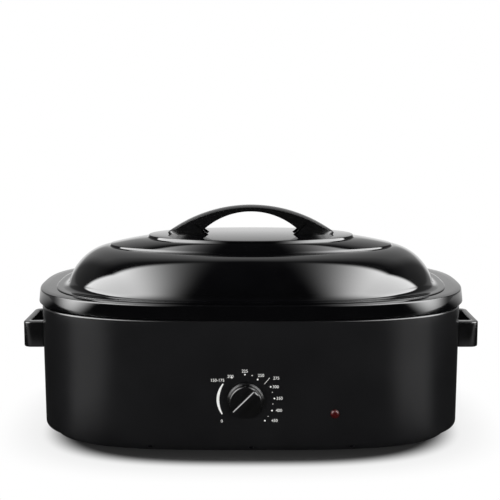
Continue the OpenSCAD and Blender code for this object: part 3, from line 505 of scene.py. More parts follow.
@dataclass(frozen=True)
class Ring:
    """One level of a pressed sheet: its height, its outline, and the radius that rounds it off."""

    z: float
    plan: Plan
    fillet: float = 0.0

    def towards(self, other: Ring, share: float) -> Ring:
        """The ring a share of the way to another."""
        plan = Plan(mix(self.plan.half_w, other.plan.half_w, share),
                    mix(self.plan.half_d, other.plan.half_d, share),
                    mix(self.plan.power, other.plan.power, share))
        return Ring(mix(self.z, other.z, share), plan)

    def gap(self, other: Ring) -> float:
        """How far another ring is, along the sheet."""
        wide = max(abs(self.plan.half_w - other.plan.half_w), abs(self.plan.half_d - other.plan.half_d))
        return math.hypot(self.z - other.z, wide)


def rounded(rings: list[Ring], steps: int = 5) -> list[Ring]:
    """Rounds the sheet's corners, at the rings that have a fillet.

    Args:
        rings: the sheet's rings, in order.
        steps: how many strips a rounded corner gets.

    Returns:
        The rings with each such corner replaced by a curve.
    """
    out = [rings[0]]
    for before, here, after in zip(rings, rings[1:], rings[2:]):
        if not here.fillet:
            out.append(here)
            continue
        start, end = (here.towards(other, min(SHARED_STRIP if other.fillet else OWN_STRIP,
                                              here.fillet / here.gap(other)))
                      for other in (before, after))
        for i in range(steps + 1):
            share = i / steps
            out.append(start.towards(here, share).towards(here.towards(end, share), share))
    out.append(rings[-1])
    return out


def arc(plan: Plan, inset: float, z: float, radius: float, start: float, end: float,
        steps: int) -> list[Ring]:
    """Gives rings along an arc of the sheet's section.

    Args:
        plan: the outline that offsets are counted from.
        inset: the arc's centre, inwards from the outline.
        z: the arc's centre height.
        radius: its radius.
        start: its first angle in degrees, from outwards towards up.
        end: its last angle.
        steps: how many strips it has.

    Returns:
        The rings, from start to end.
    """
    turns = (math.radians(mix(start, end, i / steps)) for i in range(steps + 1))
    return [Ring(z + radius * math.sin(t), plan.grown(radius * math.cos(t) - inset)) for t in turns]


def tapered(wall: Plan, top: float, foot: float, draft: float, count: int) -> list[Ring]:
    """Gives the rings down a wall that leans in, but for its last one.

    Args:
        wall: the wall's outline at its top.
        top: the height of its top.
        foot: the height of its foot.
        draft: how far it leans in.
        count: how many strips it has.

    Returns:
        The rings, from the top down.
    """
    return [Ring(mix(top, foot, i / count), wall.grown(-draft * i / count)) for i in range(count)]


def across(plan: Plan, z: float, insets: tuple[float, ...], middle: Plan) -> list[Ring]:
    """Gives the rings across a flat floor, in to the small outline at its middle."""
    return [Ring(z, plan.grown(-by)) for by in insets] + [Ring(z, middle)]


def even_turns(plan: Plan, count: int) -> list[float]:
    """Finds the turns that space points evenly round an outline.

    Args:
        plan: the outline.
        count: how many points; a multiple of four.

    Returns:
        The turns, in order, from 0 to a full turn.
    """
    fine, quarter = 1200, count // 4
    turns = [math.pi / 2 * i / fine for i in range(fine + 1)]
    spots = [plan.spot(t) for t in turns]
    run = [0.0]
    for a, b in zip(spots, spots[1:]):
        run.append(run[-1] + math.dist(a, b))
    first, j = [], 0
    for k in range(quarter + 1):
        goal = run[-1] * k / quarter
        while j < fine - 1 and run[j + 1] < goal:
            j += 1
        first.append(mix(turns[j], turns[j + 1], (goal - run[j]) / (run[j + 1] - run[j])))
    ahead, back = first[:-1], first[:0:-1]
    return (ahead + [math.pi - t for t in back] + [math.pi + t for t in ahead]
            + [2 * math.pi - t for t in back])


def pressed(name: str, rings: list[Ring], closed: bool, points: int = RING_POINTS) -> Obj:
    """Presses a sheet over rings: a circle is extruded from level to level.

    Args:
        name: the new object's name.
        rings: the levels, in order.
        closed: whether the last ring is drawn to a point.
        points: how many points a ring has.

    Returns:
        The sheet, with no thickness yet.
    """
    obj = added(name, bpy.ops.mesh.primitive_circle_add, vertices=points, radius=1.0)
    around = sorted(obj.data.vertices, key=lambda v: math.atan2(v.co.y, v.co.x) % (2 * math.pi))
    widest = max(rings, key=lambda r: r.plan.half_w).plan
    turn_of = obj.data.attributes.new("turn", "FLOAT", "POINT")
    for vertex, turn in zip(around, even_turns(widest, points)):
        turn_of.data[vertex.index].value = turn
    with editing(obj):
        bpy.ops.mesh.select_all(action="SELECT")
        for level, ring in enumerate(rings):
            if level:
                bpy.ops.mesh.extrude_region_move()
            mesh = bmesh.from_edit_mesh(obj.data)
            layer = mesh.verts.layers.float["turn"]
            for vertex in mesh.verts:
                if vertex.select:
                    x, y = ring.plan.spot(vertex[layer])
                    vertex.co = Vector((x, y, ring.z)) * MM
            bmesh.update_edit_mesh(obj.data)
        if closed:
            bpy.ops.mesh.merge(type="CENTER")
        bpy.ops.mesh.select_all(action="SELECT")
        bpy.ops.mesh.normals_make_consistent(inside=False)
    obj.data.attributes.remove(obj.data.attributes["turn"])
    return obj


def faced(obj: Obj, near: tuple[float, float, float], way: tuple[float, float, float]) -> Obj:
    """Turns a sheet over where needed, so that its face near a point looks a given way.

    Args:
        obj: the sheet, with all its faces on one side.
        near: the point.
        way: the direction that the face there looks towards.

    Returns:
        The same object.
    """
    spot = Vector(near) * MM
    face = min(obj.data.polygons, key=lambda p: (p.center - spot).length_squared)
    if face.normal.dot(Vector(way)) < 0:
        with editing(obj):
            bpy.ops.mesh.select_all(action="SELECT")
            bpy.ops.mesh.flip_normals()
    return obj


def thickened(obj: Obj, sheet: float, edge: float = 0.0) -> Obj:
    """Gives a sheet its thickness, behind its face, and rounds its cut edges."""
    modified(obj, "SOLIDIFY", thickness=sheet * MM, offset=-1.0, use_even_offset=True, use_rim=True)
    if edge:
        bevelled(obj, edge, 2, 60)
    return smoothed(obj)


def lathe(name: str, profile: list[tuple[float, float, float]], axis: str,
          centre: tuple[float, float, float], closed: bool = True) -> Obj:
    """Turns a round piece.

    Args:
        name: the new object's name.
        profile: points (distance along the axis, radius, fillet), from the outside in.
        axis: the axis that distances run along.
        centre: the axis's zero.
        closed: whether both ends close on the axis, as they do on a solid piece.

    Returns:
        The turned piece, closed and facing outwards.
    """
    rings = rounded([Ring(z, Plan(r, r, 2.0), f) for z, r, f in profile])
    obj = pressed(name, rings, False, ROUND_POINTS)
    with editing(obj, "EDGE"):
        bpy.ops.mesh.select_non_manifold(use_non_contiguous=False, use_multi_face=False,
                                         use_verts=False)
        if closed:
            bpy.ops.mesh.edge_face_add()
        else:
            bpy.ops.mesh.bridge_edge_loops()
    obj.rotation_euler = AXIS_TURNS[axis]
    obj.location = Vector(centre) * MM
    return smoothed(outward(settled(obj)))


def wire(name: str, path: list[tuple[float, float, float]], radius: float, cyclic: bool = False,
         sides: int = 4) -> Obj:
    """Bends a round wire along a path.

    Args:
        name: the new object's name.
        path: the points of its middle line.
        radius: its radius.
        cyclic: whether it closes on itself.
        sides: the resolution of its round section.

    Returns:
        The wire, as a mesh.
    """
    line = bpy.data.curves.new(name, "CURVE")
    line.dimensions = "3D"
    line.bevel_depth = radius * MM
    line.bevel_resolution = sides
    line.use_fill_caps = True
    spline = line.splines.new("POLY")
    spline.points.add(len(path) - 1)
    for point, spot in zip(spline.points, path):
        point.co = (*(Vector(spot) * MM), 1.0)
    spline.use_cyclic_u = cyclic
    made = bpy.data.objects.new(name, line)
    bpy.context.scene.collection.objects.link(made)
    hold(made)
    bpy.ops.object.convert(target="MESH")
    return smoothed(outward(bpy.context.active_object))


# ---------------------------------------------------------------- the frame


def low(node: str) -> Vector:
    """The lowest corner of a CAD piece, in millimetres."""
    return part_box(node)[0] / MM


def high(node: str) -> Vector:
    """The highest corner of a CAD piece, in millimetres."""
    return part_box(node)[1] / MM


def fitted(obj: Obj, finish: Finish, body: str, slot: str, *stands_for: str) -> Obj:
    """Dresses a finished piece, and hands it to the frame.

    Args:
        obj: the piece.
        finish: its surface.
        body: the body that it rides on.
        slot: the name of a material slot; not used.
        *stands_for: the CAD pieces that it replaces.

    Returns:
        The piece.
    """
    obj.data.materials.clear()
    obj.data.materials.append(finish.material())
    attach(obj, body)
    if stands_for:
        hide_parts(*stands_for)
    LOG.info("%s: %d faces, on %s", obj.name, len(obj.data.polygons), body)
    return obj


# ---------------------------------------------------------------- body and base


@dataclass
class BodyShell:
    """The painted steel wrap, with its turned-in shoulder and hem."""

    power: float = 3.14
    taper: float = 1.0
    sheet: float = 1.0
    shoulder: float = 2.4
    shelf: float = 13.0
    hem: float = 12.0
    hem_round: float = 2.0
    hem_bend: float = 7.0
    shelf_bend: float = 9.0
    wall_rings: int = 12
    top: float = field(init=False)
    foot: float = field(init=False)
    plan: Plan = field(init=False)

    def __post_init__(self) -> None:
        """Takes the wrap's outline and heights from the frame."""
        corner = high("outer_shell")
        self.plan = Plan(corner.x, corner.y, self.power)
        self.top = corner.z
        self.foot = low("outer_shell").z

    def face(self, z: float) -> Plan:
        """The wall's outline at a height."""
        rise = self.top - self.shoulder - self.foot
        return self.plan.grown(-self.taper * (self.top - self.shoulder - z) / rise)

    def front(self, x: float, z: float) -> float:
        """The wall's front face, as a y, at a place on it."""
        return -self.face(z).depth_at(x)

    def build(self, holes: list[Obj]) -> Obj:
        """Builds the wrap.

        Args:
            holes: the cutters of all that passes through it.

        Returns:
            The finished piece.
        """
        wall_top, wall_foot = self.top - self.shoulder, self.foot + self.hem_round
        heights = (mix(wall_foot, wall_top, i / self.wall_rings) for i in range(1, self.wall_rings))
        wall = [Ring(z, self.face(z)) for z in heights]
        rings = ([Ring(self.foot, self.plan.grown(-by)) for by in (self.hem, self.hem_bend)]
                 + arc(self.face(self.foot), self.hem_round, wall_foot, self.hem_round, -90, 0, 6) + wall
                 + arc(self.plan, self.shoulder, wall_top, self.shoulder, 0, 90, 10)
                 + [Ring(self.top, self.plan.grown(-by)) for by in (self.shelf_bend, self.shelf)])
        middle = (0, -self.plan.half_d, mix(self.foot, self.top, 0.5))
        obj = faced(pressed("body_wrap", rings, False), middle, (0, -1, 0))
        cut(thickened(obj, self.sheet), holes)
        return fitted(smoothed(obj), SATIN_PAINT, "base", "body_paint", "outer_shell")


@dataclass
class BasePan:
    """The base ring and its floor, in one painted pressing, with its vents and screw holes."""

    body: BodyShell
    power: float = 3.4
    inset: float = 13.5
    sheet: float = 1.0
    corner: float = 4.0
    flange: float = 5.0
    flange_bend: float = 1.0
    floor_rings: tuple[float, ...] = (12.0, 40.0, 80.0, 120.0)
    middle: Plan = Plan(20.0, 2.0, 2.0)
    cut_depth: float = 6.0
    vents: int = 5
    vent_l: float = 60.0
    vent_w: float = 5.0
    vent_pitch: float = 14.0
    vent_x: float = 87.5
    foot_x: float = 175.0
    foot_y: float = 95.0
    hole: float = 2.25

    def build(self) -> Obj:
        """Builds the base pan.

        Returns:
            The finished piece.
        """
        floor = low("base_pan").z
        flange_z = self.body.foot - self.sheet
        plan = replace(self.body.plan.grown(-self.inset), power=self.power)
        rings = ([Ring(flange_z, self.body.plan.grown(-self.flange)),
                  Ring(flange_z, plan, self.flange_bend)]
                 + arc(plan, self.corner, floor + self.corner, self.corner, 0, -90, 6)
                 + across(plan, floor, self.floor_rings, self.middle))
        obj = faced(pressed("base_ring", rings, True), (0, 0, floor), (0, 0, -1))
        thickened(obj, self.sheet)
        rows = [(i - (self.vents - 1) / 2) * self.vent_pitch for i in range(self.vents)]
        cutters = [block((side * self.vent_x, y, floor), (self.vent_l, self.vent_w, self.cut_depth))
                   for side in (-1, 1) for y in rows]
        cutters += [rod((x * self.foot_x, y * self.foot_y, floor), "Z", self.hole, self.cut_depth)
                    for x in (-1, 1) for y in (-1, 1)]
        cut(obj, cutters)
        return fitted(smoothed(obj), SATIN_PAINT, "base", "body_paint", "base_pan")


@dataclass
class RubberFeet:
    """Four moulded feet, with a rounded edge and a recess for the screw."""

    radius: float = 11.0
    edge: float = 1.0
    top_edge: float = 0.4
    recess: float = 1.6
    recess_r: float = 4.25
    recess_edge: float = 0.3
    recess_corner: float = 0.2
    hole: float = 2.25

    def build(self) -> Obj:
        """Builds the feet.

        Returns:
            The finished piece.
        """
        corner, top, radius = high("rubber_feet"), high("rubber_feet").z, self.radius
        feet = []
        for x in (-1, 1):
            for y in (-1, 1):
                centre = (x * (corner.x - radius), y * (corner.y - radius), 0)
                profile = [(top, self.hole, 0), (top, radius, self.top_edge), (0, radius, self.edge),
                           (0, self.recess_r, self.recess_edge),
                           (self.recess, self.recess_r, self.recess_corner),
                           (self.recess, self.hole, 0)]
                feet.append(lathe("foot", profile, "Z", centre, closed=False))
        return fitted(joined("feet_moulded", feet), RUBBER, "base", "foot_rubber", "rubber_feet")


# ---------------------------------------------------------------- well and pan


# How far in the rings across the pan's and the well's floors stand, and the outline at their middle
BOWL_RINGS = (50.0, 85.0, 120.0)
BOWL_MIDDLE = Plan(60.0, 3.0, 2.0)


@dataclass
class RoastingPan:
    """The lift-out enamelled pan: a wide rim with an upright edge, over a deep, tapered pan."""

    rim_power: float = 2.8
    lean: float = 1.2
    bow: float = 0.5
    edge_round: float = 1.1
    edge_rings: int = 8
    edge_h: float = 16.0
    flat: float = 11.0
    wide_x: float = 34.9
    wide_y: float = 25.0
    pan_power: float = 2.75
    draft: float = 13.0
    corner: float = 22.0
    sheet: float = 1.0
    mouth: float = 1.2
    mouth_round: float = 3.5
    mouth_from: float = 0.6
    neck: float = 6.0
    wall_rings: int = 8
    rim: Plan = field(init=False)
    pan: Plan = field(init=False)
    top: float = field(init=False)
    skirt: float = field(init=False)
    floor: float = field(init=False)

    def __post_init__(self) -> None:
        """Takes the rim's outline and the pan's heights from the frame."""
        corner = high("roasting_pan")
        self.rim = Plan(corner.x, corner.y, self.rim_power)
        self.pan = Plan(corner.x - self.wide_x, corner.y - self.wide_y, self.pan_power)
        self.top = corner.z
        self.skirt = self.top - self.edge_h
        self.floor = low("roasting_pan").z + self.sheet

    def edge(self) -> list[Ring]:
        """Gives the rings of the rim's edge from its skirt up: it leans in, a little bowed."""
        shares = (i / self.edge_rings for i in range(self.edge_rings + 1))
        return [Ring(mix(self.skirt, self.top, u), self.rim.grown(-u * (self.lean + self.bow * u)),
                     self.edge_round * (u == 1)) for u in shares]

    def inside(self) -> list[Ring]:
        """Gives the rings of the pan's inner face, from its mouth to its middle."""
        low_z = self.floor + self.corner - self.sheet
        walls = tapered(self.pan.grown(-self.sheet), self.top - self.neck, low_z, self.draft,
                        self.wall_rings)
        return (walls + arc(self.pan, self.draft + self.corner, self.floor + self.corner,
                            self.corner - self.sheet, 0, -90, 12)
                + across(self.pan, self.floor + self.sheet, BOWL_RINGS, BOWL_MIDDLE))

    def build(self) -> Obj:
        """Builds the pan.

        Returns:
            The finished piece.
        """
        flat = Ring(self.top, self.rim.grown(-self.flat))
        lip = Ring(self.top, self.pan.grown(self.mouth), self.mouth_round)
        walls = self.inside()
        rings = (rounded(self.edge() + [flat]) + [flat.towards(lip, 0.5)]
                 + rounded([flat.towards(lip, self.mouth_from), lip, walls[0]])[1:-1] + walls)
        obj = faced(pressed("enamel_pan", rings, True), (0, 0, self.floor), (0, 0, 1))
        thickened(obj, self.sheet)
        return fitted(obj, ENAMEL, "pan", "black_enamel", "roasting_pan")


@dataclass
class HeatedWell:
    """The aluminised well that the pan hangs in, and the collar that carries its rim."""

    pan: RoastingPan
    gap: float = 3.0
    sheet: float = 0.8
    collar: float = 13.8
    collar_foot: float = 118.0
    bend: float = 1.5
    mouth: float = 1.0
    wall_rings: int = 8

    def build(self) -> Obj:
        """Builds the well.

        Returns:
            The finished piece.
        """
        pan = self.pan
        wall = pan.pan.grown(self.gap - self.sheet)
        floor = low("inner_well").z + self.sheet
        corner = pan.corner + self.gap - self.sheet
        shelf_z = high("inner_well").z
        collar = Ring(shelf_z, pan.rim.grown(-self.collar), self.bend)
        collar_foot = replace(collar, z=low("inner_well").z + self.collar_foot, fillet=0.0)
        mouth = Ring(shelf_z, wall.grown(self.mouth), self.bend)
        walls = tapered(wall, pan.top - pan.neck, floor + corner, pan.draft, self.wall_rings)
        rings = (rounded([collar_foot, collar, mouth, walls[0]]) + walls[1:]
                 + arc(wall, pan.draft + corner, floor + corner, corner, 0, -90, 10)
                 + across(wall, floor, BOWL_RINGS, BOWL_MIDDLE))
        obj = faced(pressed("well_liner", rings, True), (0, 0, floor), (0, 0, 1))
        thickened(obj, self.sheet)
        return fitted(obj, ALUMINISED, "base", "well_steel", "inner_well")


@dataclass
class Rack:
    """The chromed wire rack, with a lifting loop at each end."""

    wire: float = 2.5
    bar: float = 1.6
    bar_seat: float = 0.6
    leg_share: float = 1.2
    bars: int = 9
    straight: float = 8.0
    edge: float = 14.0
    foot_inset: float = 20.0
    loop_l: float = 84.0
    loop_bend: float = 14.0
    lean: float = 2.0
    arc_steps: int = 40
    bend_steps: int = 12

    def outline(self, half_w: float, half_d: float, bend: float, z: float) -> list[tuple]:
        """Gives the middle line of a round-cornered loop that lies flat."""
        out = []
        for sx, sy, start in ((1, 1, 0), (-1, 1, 90), (-1, -1, 180), (1, -1, 270)):
            for i in range(self.arc_steps + 1):
                turn = math.radians(start + 90 * i / self.arc_steps)
                out.append((sx * (half_w - bend) + bend * math.cos(turn),
                            sy * (half_d - bend) + bend * math.sin(turn), z))
        return out

    def reach(self, y: float, half_w: float, half_d: float, bend: float) -> float:
        """Half the rack's length at y."""
        over = abs(y) - half_d + bend
        return half_w - (bend - math.sqrt(bend * bend - over * over) if over > 0 else 0)

    def build(self) -> list[Obj]:
        """Builds the rack and its loops.

        Returns:
            The finished pieces.
        """
        corner, foot = high("roasting_rack"), low("roasting_rack").z
        half_w, half_d = corner.x - self.wire, corner.y - self.wire
        bend = half_d - self.straight
        z = low("rack_lifting_loops").z
        parts = [wire("frame_wire", self.outline(half_w, half_d, bend, z), self.wire, True, 6)]
        bar_z = z + self.wire + self.bar * self.bar_seat
        for i in range(self.bars):
            y = (half_d - self.edge) * (2 * i / (self.bars - 1) - 1)
            x = self.reach(y, half_w, half_d, bend)
            parts.append(wire("cross_wire", [(-x, y, bar_z), (x, y, bar_z)], self.bar))
        for side in (-1, 1):
            x = side * half_w / 2
            parts.append(wire("brace", [(x, -half_d, z), (x, half_d, z)], self.bar))
            parts += [wire("leg", [(x, s * (half_d - self.foot_inset), foot),
                                   (x, s * (half_d - self.foot_inset), z)], self.bar * self.leg_share)
                      for s in (-1, 1)]
        rack = fitted(joined("wire_rack", parts), CHROMED_WIRE, "rack", "chrome_wire", "roasting_rack")
        return [rack, self.loops(z)]

    def loops(self, z: float) -> Obj:
        """Builds the two lifting loops, which lean outwards a little."""
        outer = high("rack_lifting_loops")
        rise = outer.z - z - self.wire
        foot_x = outer.x - self.wire - rise * math.sin(math.radians(self.lean))
        half, bend = self.loop_l / 2, self.loop_bend
        flat = [(-half, 0.0)]
        for start, y in ((180, -half + bend), (90, half - bend)):
            turns = (math.radians(start - 90 * i / self.bend_steps) for i in range(self.bend_steps + 1))
            flat += [(y + bend * math.cos(t), rise - bend + bend * math.sin(t)) for t in turns]
        flat.append((half, 0.0))
        slope = math.tan(math.radians(self.lean))
        parts = [wire("loop", [(side * (foot_x + h * slope), y, z + h) for y, h in flat], self.wire,
                      False, 6) for side in (-1, 1)]
        return fitted(joined("lift_loops", parts), CHROMED_WIRE, "rack", "chrome_wire",
                      "rack_lifting_loops")


# ---------------------------------------------------------------- lid


@dataclass
class Lid:
    """The loose domed lid, pressed with two steps under its crown, and a flat flange."""

    pan: RoastingPan
    outer_z: float = 47.4
    inner_z: float = 58.0
    inner: Plan = Plan(134.5, 74.0, 2.1)
    outer: Plan = Plan(184.0, 86.0, 2.15)
    inner_h: float = 3.4
    outer_h: float = 2.4
    outer_in: Spot = (1.5, 1.4)
    crown_in: Spot = (2.0, 1.8)
    tip: Plan = Plan(2.0, 1.1, 2.1)
    flange: float = 14.8
    flange_rings: tuple[float, ...] = (0.0, 2.0, 7.0)
    flange_power: float = 2.8
    dome_power: float = 2.75
    sheet: float = 0.9
    bulge_x: float = 1.75
    bulge_y: float = 2.0
    step_round: float = 0.8
    step_slope: float = 1.35
    foot_round: float = 7.2
    edge_round: float = 0.25
    dome_rings: int = 30
    dome_first: int = 3
    tier_rings: int = 8
    crown_rings: int = 8

    def dome(self, foot: Plan) -> list[Ring]:
        """Gives the dome's rings, from a little over its foot to the outer step."""
        rings = []
        for i in range(self.dome_first, self.dome_rings):
            share = math.sin(math.pi / 2 * i / self.dome_rings)
            rings.append(Ring(self.pan.top + mix(self.sheet, self.outer_z, share), Plan(
                mix(self.outer.half_w, foot.half_w, bulge(share, self.bulge_x)),
                mix(self.outer.half_d, foot.half_d, bulge(share, self.bulge_y)),
                mix(self.dome_power, self.outer.power, share))))
        return rings

    def steps(self) -> list[Ring]:
        """Gives the rings of the outer step, and of the slope up to the inner step's foot."""
        seat, top = self.pan.top, self.outer_z + self.outer_h
        edge = self.outer.drawn_in(*self.outer_in)
        rings = [Ring(seat + self.outer_z, self.outer, self.step_round),
                 Ring(seat + top, edge, self.step_round)]
        for i in range(1, self.tier_rings):
            share = 1 - i / self.tier_rings
            plan = Ring(0, self.inner).towards(Ring(0, edge), share).plan
            rings.append(Ring(seat + mix(self.inner_z, top, share ** self.step_slope), plan))
        return rings + [Ring(seat + self.inner_z, self.inner, self.step_round)]

    def crown(self, rise: float) -> list[Ring]:
        """Gives the crown's rings, from the inner step's edge to the middle.

        Args:
            rise: the lid's height over its seat.

        Returns:
            The rings, from the outside in.
        """
        edge = self.inner.drawn_in(*self.crown_in)
        drop = rise - self.inner_z - self.inner_h
        rings = [Ring(self.pan.top + rise - drop, edge, self.step_round)]
        for i in range(1, self.crown_rings):
            u = 1 - i / self.crown_rings
            rings.append(Ring(self.pan.top + rise - drop * u * u,
                              Plan(edge.half_w * u, edge.half_d * u, edge.power)))
        return rings + [Ring(self.pan.top + rise, self.tip)]

    def build(self) -> Obj:
        """Builds the lid.

        Returns:
            The finished piece.
        """
        corner, seat = high("lid_shell"), self.pan.top
        edge = Plan(corner.x, corner.y, self.flange_power)
        foot = replace(edge.grown(-self.flange), power=self.dome_power)
        rings = [Ring(seat + self.sheet, edge.grown(-by)) for by in self.flange_rings]
        rings.append(Ring(seat + self.sheet, foot, self.foot_round))
        rings += self.dome(foot) + self.steps() + self.crown(corner.z - seat)
        obj = faced(pressed("lid_dome", rounded(rings, 8), True), (0, 0, corner.z), (0, 0, 1))
        thickened(obj, self.sheet, self.edge_round)
        return fitted(obj, ENAMEL, "lid", "black_enamel", "lid_shell")


def bulge(share: float, power: float) -> float:
    """How far a dome's wall still stands out at a share of its height."""
    return (1 - share ** power) ** (1 / power)


@dataclass
class LidHandle:
    """The arched handle: a strip between two arcs, on two long feet.

    Shares run from the middle of the handle to its tip: its neck, where the opening ends, and its
    heel, where the foot's flat underside starts.
    """

    thick: float = 7.4
    opening: float = 62.0
    toe: float = 9.0
    toe_cut: float = 1.5
    neck: float = 0.5
    heel: float = 0.62
    neck_spread: float = 1.13
    heel_spread: float = 1.26
    ease: float = 0.9
    sunk: float = 1.1
    tip_rise: float = 2.2
    heel_rise: float = 5.0
    width: float = 30.0
    straight: float = 82.0
    tip_width: float = 0.47
    tip_powers: Spot = (2.2, 0.62)
    edge: float = 2.2
    arching: float = 2.4
    arching_share: float = 0.3
    bare: float = 3.5
    sharp: float = 45.0
    shading: float = 50.0
    columns: int = 120
    levels: int = 6

    def spot(self, along: float, over: float, crown: float) -> Spot:
        """Places a point of the handle's side view.

        Args:
            along: from -1 to 1, tip to tip.
            over: 0 on the lower line and 1 on the upper arc.
            crown: the height of the lid's crown.

        Returns:
            The point's x and z.
        """
        tip, top = high("lid_handle").x, high("lid_handle").z
        foot = crown - self.sunk
        drop = top - crown - self.tip_rise
        big = (tip * tip + drop * drop) / (2 * drop)
        low_drop = top - crown - self.thick - self.heel_rise
        small = (self.opening ** 2 + low_drop ** 2) / (2 * low_drop)
        share, side = abs(along), math.copysign(1, along)
        neck, heel = self.neck, self.heel
        if share <= neck:
            x = self.opening * math.sin(math.pi / 2 * share / neck) ** self.ease
            under = (x, top - self.thick - small + math.sqrt(small * small - x * x))
            above = self.neck_spread * x
        elif share <= heel:
            t = (share - neck) / (heel - neck)
            turn = math.pi / 2 * t
            under = (self.opening - self.toe * (1 - math.cos(turn)),
                     mix(crown + self.heel_rise, foot, math.sin(turn)))
            above = mix(self.neck_spread * self.opening, self.heel_spread * self.opening, t)
        else:
            t = (share - heel) / (1 - heel)
            under = (mix(self.opening - self.toe, tip - self.toe_cut, t), foot)
            above = mix(self.heel_spread * self.opening, tip, t)
        upper = (above, top - big + math.sqrt(big * big - above * above))
        return side * mix(under[0], upper[0], over), mix(under[1], upper[1], over)

    def half_width(self, x: float) -> float:
        """Half the handle's width at x: straight, then drawn in to a rounded tip."""
        out = (abs(x) - self.straight) / (high("lid_handle").x - self.straight)
        first, second = self.tip_powers
        share = min(1.0, max(0.0, out))
        return self.width / 2 * max(self.tip_width, (1 - share ** first) ** second)

    def build(self, crown: float) -> Obj:
        """Builds the handle.

        Args:
            crown: the height of the lid's crown.

        Returns:
            The finished piece.
        """
        obj = added("arch_handle", bpy.ops.mesh.primitive_grid_add, x_subdivisions=self.columns,
                    y_subdivisions=1, size=2.0)
        drop_of = obj.data.attributes.new("drop", "FLOAT", "POINT")
        for vertex in obj.data.vertices:
            along, over = vertex.co.x, (vertex.co.y + 1) / 2
            x, z = self.spot(along, over, crown)
            tall = self.spot(along, 1, crown)[1] - self.spot(along, 0, crown)[1]
            drop_of.data[vertex.index].value = over * min(self.arching, self.arching_share * tall)
            vertex.co = Vector((x, -self.width / 2, z)) * MM
        step = self.width / self.levels * MM
        with editing(obj, "FACE"):
            bpy.ops.mesh.select_all(action="SELECT")
            for _ in range(self.levels):
                bpy.ops.mesh.extrude_region_move(TRANSFORM_OT_translate={"value": (0, step, 0)})
        self.shape(obj)
        modified(obj, "BEVEL", width=self.edge * MM, segments=4, limit_method="WEIGHT",
                 use_clamp_overlap=True)
        return fitted(smoothed(obj, math.radians(self.shading)), PHENOLIC, "lid", "phenolic",
                      "lid_handle")

    def shape(self, obj: Obj) -> None:
        """Draws in the handle's sides, arches its top, and marks the edges to round."""
        drops = obj.data.attributes["drop"].data
        for vertex, drop in zip(obj.data.vertices, drops):
            side = vertex.co.y / (self.width / 2 * MM)
            vertex.co.y = side * self.half_width(vertex.co.x / MM) * MM
            vertex.co.z -= drop.value * side * side * MM
        obj.data.attributes.remove(obj.data.attributes["drop"])
        outward(obj)
        mesh = bmesh.new()
        mesh.from_mesh(obj.data)
        foot = min(vertex.co.z for vertex in mesh.verts)
        toe = (self.opening - self.toe + self.bare) * MM
        weight = mesh.edges.layers.float.new("bevel_weight_edge")
        for edge in mesh.edges:
            top = max(v.co.z for v in edge.verts) - foot
            thin = top < self.bare * MM and min(abs(v.co.x) for v in edge.verts) < toe
            sharp = edge.calc_face_angle(0.0) > math.radians(self.sharp)
            edge[weight] = float(sharp and not thin and top > HAIR * MM)
        mesh.to_mesh(obj.data)
        mesh.free()


# ---------------------------------------------------------------- side handles


@dataclass
class SideHandle:
    """A moulded loop handle, one at each end of the body."""

    body: BodyShell
    bar: float = 8.0
    arm: float = 13.0
    corner: float = 10.0
    inner_corner: float = 4.0
    seat: float = 0.15
    edge: float = 3.4
    sharp: float = 50.0
    steps: int = 8

    def line(self, reach: float, half: float, radius: float) -> list[Spot]:
        """Gives one edge of the loop from above, from the back arm round to the front arm.

        Args:
            reach: how far out the bar's face is.
            half: half the loop's length.
            radius: the corner's radius.

        Returns:
            The points, as many for the outer edge as for the inner.
        """
        start = self.body.plan.width_at(half) + self.seat
        arm = [(mix(start, reach - radius, i / self.steps), half) for i in range(self.steps)]
        bend = [(reach - radius + radius * math.sin(t), half - radius + radius * math.cos(t))
                for i in range(self.steps + 1) for t in [math.pi / 2 * i / self.steps]]
        straight = [(reach, mix(half - radius, 0, i / self.steps)) for i in range(1, self.steps + 1)]
        back = arm + bend + straight
        return back + [(x, -y) for x, y in reversed(back[:-1])]

    def build(self, side: int) -> Obj:
        """Builds one handle.

        Args:
            side: -1 for the left one, 1 for the right one.

        Returns:
            The finished piece.
        """
        node = "left_side_handle" if side < 0 else "right_side_handle"
        floor, top = low(node), high(node)
        reach, half = max(abs(floor.x), abs(top.x)), top.y
        outer = self.line(reach, half, self.corner)
        inner = self.line(reach - self.bar, half - self.arm, self.inner_corner)
        obj = added(f"loop_handle_{'left' if side < 0 else 'right'}", bpy.ops.mesh.primitive_grid_add,
                    x_subdivisions=len(outer) - 1, y_subdivisions=2, size=2.0)
        for vertex in obj.data.vertices:
            i = round((vertex.co.x + 1) / 2 * (len(outer) - 1))
            over = (vertex.co.y + 1) / 2
            x, y = (mix(inner[i][k], outer[i][k], over) for k in (0, 1))
            vertex.co = Vector((side * x, y, floor.z)) * MM
        with editing(obj, "FACE"):
            bpy.ops.mesh.select_all(action="SELECT")
            bpy.ops.mesh.extrude_region_move(
                TRANSFORM_OT_translate={"value": (0, 0, (top.z - floor.z) * MM)})
        bevelled(outward(obj), self.edge, 4, self.sharp)
        return fitted(smoothed(obj), PHENOLIC, "base", "phenolic", node)


# ---------------------------------------------------------------- controls


